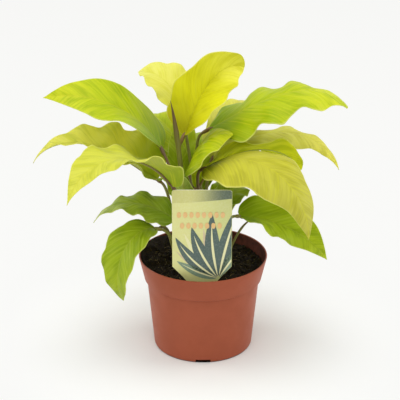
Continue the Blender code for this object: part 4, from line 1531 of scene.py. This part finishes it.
@dataclass
class Studio:
    """A white table in even daylight: pale floor, bright surroundings and soft lamps."""

    paper: str = "#f8f8f6"         # what the open floor and the background look like
    sheet: str = "#ecedeb"         # the paper itself
    # Painted shadow: the ground below the pot is coloured near black.
    under_pot: str = "#17130f"     # the unlit ground below the pot
    floor_size: float = 14.0       # metres
    sky_light: float = 0.68        # light from all round
    top_light: float = 9.5         # watts of the overhead softbox
    side_light: float = 7.0
    front_light: float = 8.0       # watts of the large softbox above the camera
    lift: float = 0.9              # how much of the far floor's shade the paper's own glow hides
    lift_reach: tuple[float, float] = (0.07, 0.22)     # metres from the pot where that begins, ends
    pot_foot: float = 0.0446       # radius of the ground that the pot covers, in metres
    # A scratch program solved elevation, sideways aim and lens from the pot's rim and base, for
    # this distance. The distance itself is a choice.
    camera_distance: float = 1.5
    camera_elevation: float = 23.3
    camera_target: tuple[float, float, float] = (-0.0028, 0.0, 0.1455)
    lens: float = 146.25

    def shown_to_camera(self, tree: bpy.types.NodeTree) -> bpy.types.NodeSocket:
        """Tell rays from the camera, and those seen through gloss or glass, by a 1.

        Args:
            tree: The node tree.

        Returns:
            The socket that holds it.
        """
        path = add_node(tree, "ShaderNodeLightPath")
        seen = path.outputs["Is Camera Ray"]
        for other in ("Is Glossy Ray", "Is Transmission Ray"):
            seen = add_node(tree, "ShaderNodeMath", operation='ADD',
                            inputs={0: seen, 1: path.outputs[other]}).outputs[0]
        return add_node(tree, "ShaderNodeMath", operation='MINIMUM',
                        inputs={0: seen, 1: 1.0}).outputs[0]

    def paper_surface(self, tree: bpy.types.NodeTree) -> bpy.types.Node:
        """Build the paper's shader: matt, painted shadow below the pot, glow hiding the shade
        further off.

        Args:
            tree: The material's node tree.

        Returns:
            The shader's last node.
        """
        glow = add_node(tree, "ShaderNodeEmission", inputs={"Color": linear(self.paper)})
        place = add_node(tree, "ShaderNodeTexCoord").outputs["Object"]
        from_pot = add_node(tree, "ShaderNodeVectorMath", operation='LENGTH',
                            inputs={0: place}).outputs["Value"]
        # Painted shadow: near black inside the pot's footprint.
        colour = tinted(tree, self.sheet,
                        (self.under_pot, from_pot, self.pot_foot + 0.001, self.pot_foot, 0.0, 1.0))
        paper = add_node(tree, "ShaderNodeBsdfDiffuse", inputs={"Color": colour})
        beside = add_node(tree, "ShaderNodeMapRange", interpolation_type='SMOOTHSTEP', inputs={
            "Value": from_pot, "From Min": self.lift_reach[0], "From Max": self.lift_reach[1],
            "To Min": 0.0, "To Max": self.lift}).outputs["Result"]
        share = add_node(tree, "ShaderNodeMath", operation='MULTIPLY',
                         inputs={0: self.shown_to_camera(tree), 1: beside}).outputs[0]
        return add_node(tree, "ShaderNodeMixShader", inputs={
            0: share, 1: paper.outputs[0], 2: glow.outputs[0]})

    def build_floor(self) -> None:
        """The floor: matt white paper that keeps a soft shadow."""
        deselect()
        bpy.ops.mesh.primitive_plane_add(size=self.floor_size)
        floor = bpy.context.object
        floor.name = "studio_floor"
        dress(floor, material_named("matt white paper", self.paper_surface))

    def build_lamp(self, name: str, place: tuple[float, float, float], size: float, watts: float
                   ) -> None:
        """Add a square softbox that faces the plant.

        Args:
            name: The lamp's name.
            place: Where it stands, in metres.
            size: The length of its sides in metres.
            watts: Its power.
        """
        lamp_data = bpy.data.lights.new(name, 'AREA')
        lamp_data.shape = 'SQUARE'
        lamp_data.size = size
        lamp_data.energy = watts
        lamp = bpy.data.objects.new(name, lamp_data)
        bpy.context.scene.collection.objects.link(lamp)
        lamp.location = place
        aim = Vector(self.camera_target) - Vector(place)
        lamp.rotation_euler = aim.to_track_quat('-Z', 'Y').to_euler()

    def build_world(self) -> None:
        """Even light from all round, and the paper's white where the camera sees past the floor."""
        world = bpy.data.worlds.new("bright room")
        bpy.context.scene.world = world
        world.use_nodes = True
        tree = world.node_tree
        tree.nodes.clear()
        light = add_node(tree, "ShaderNodeBackground", inputs={
            "Color": (1, 1, 1, 1), "Strength": self.sky_light})
        shown = add_node(tree, "ShaderNodeBackground", inputs={
            "Color": linear(self.paper), "Strength": 1.0})
        mix = add_node(tree, "ShaderNodeMixShader", inputs={
            0: self.shown_to_camera(tree), 1: light.outputs[0], 2: shown.outputs[0]})
        add_node(tree, "ShaderNodeOutputWorld", inputs={"Surface": mix.outputs[0]})

    def build_camera(self) -> None:
        """The camera: a long lens, level with the pot's front and looking down on it."""
        data = bpy.data.cameras.new("camera")
        data.lens = self.lens
        data.sensor_width = 36.0
        camera = bpy.data.objects.new("camera", data)
        bpy.context.scene.collection.objects.link(camera)
        tilt = math.radians(self.camera_elevation)
        back = Vector((0, -math.cos(tilt), math.sin(tilt)))
        camera.location = Vector(self.camera_target) + back * self.camera_distance
        camera.rotation_euler = (-back).to_track_quat('-Z', 'Y').to_euler()
        bpy.context.scene.camera = camera

    def build(self) -> None:
        """Build the floor, lamps, world and camera."""
        bpy.context.scene.view_settings.view_transform = 'Standard'
        self.build_camera()
        self.build_floor()
        self.build_world()
        self.build_lamp("softbox_top", (-0.08, -0.1, 1.5), 1.2, self.top_light)
        self.build_lamp("softbox_left", (-1.4, 0.3, 0.7), 1.0, self.side_light)
        self.build_lamp("softbox_right", (1.4, 0.3, 0.7), 1.0, self.side_light)
        self.build_lamp("softbox_front", (0.0, -1.5, 1.5), 1.4, self.front_light)


def main() -> None:
    """Build the studio and the plant, and report each piece."""
    logging.basicConfig(level=logging.INFO, format="%(message)s")
    Studio().build()
    pot = NurseryPot()
    pot.build()
    PeatFill(pot).build()
    Rhizome().build()
    PlantLabel().build()
    for leaf in LEAVES:
        leaf.build()
    for shoot in SHOOTS:
        shoot.build()


if __name__ == "__main__":
    main()
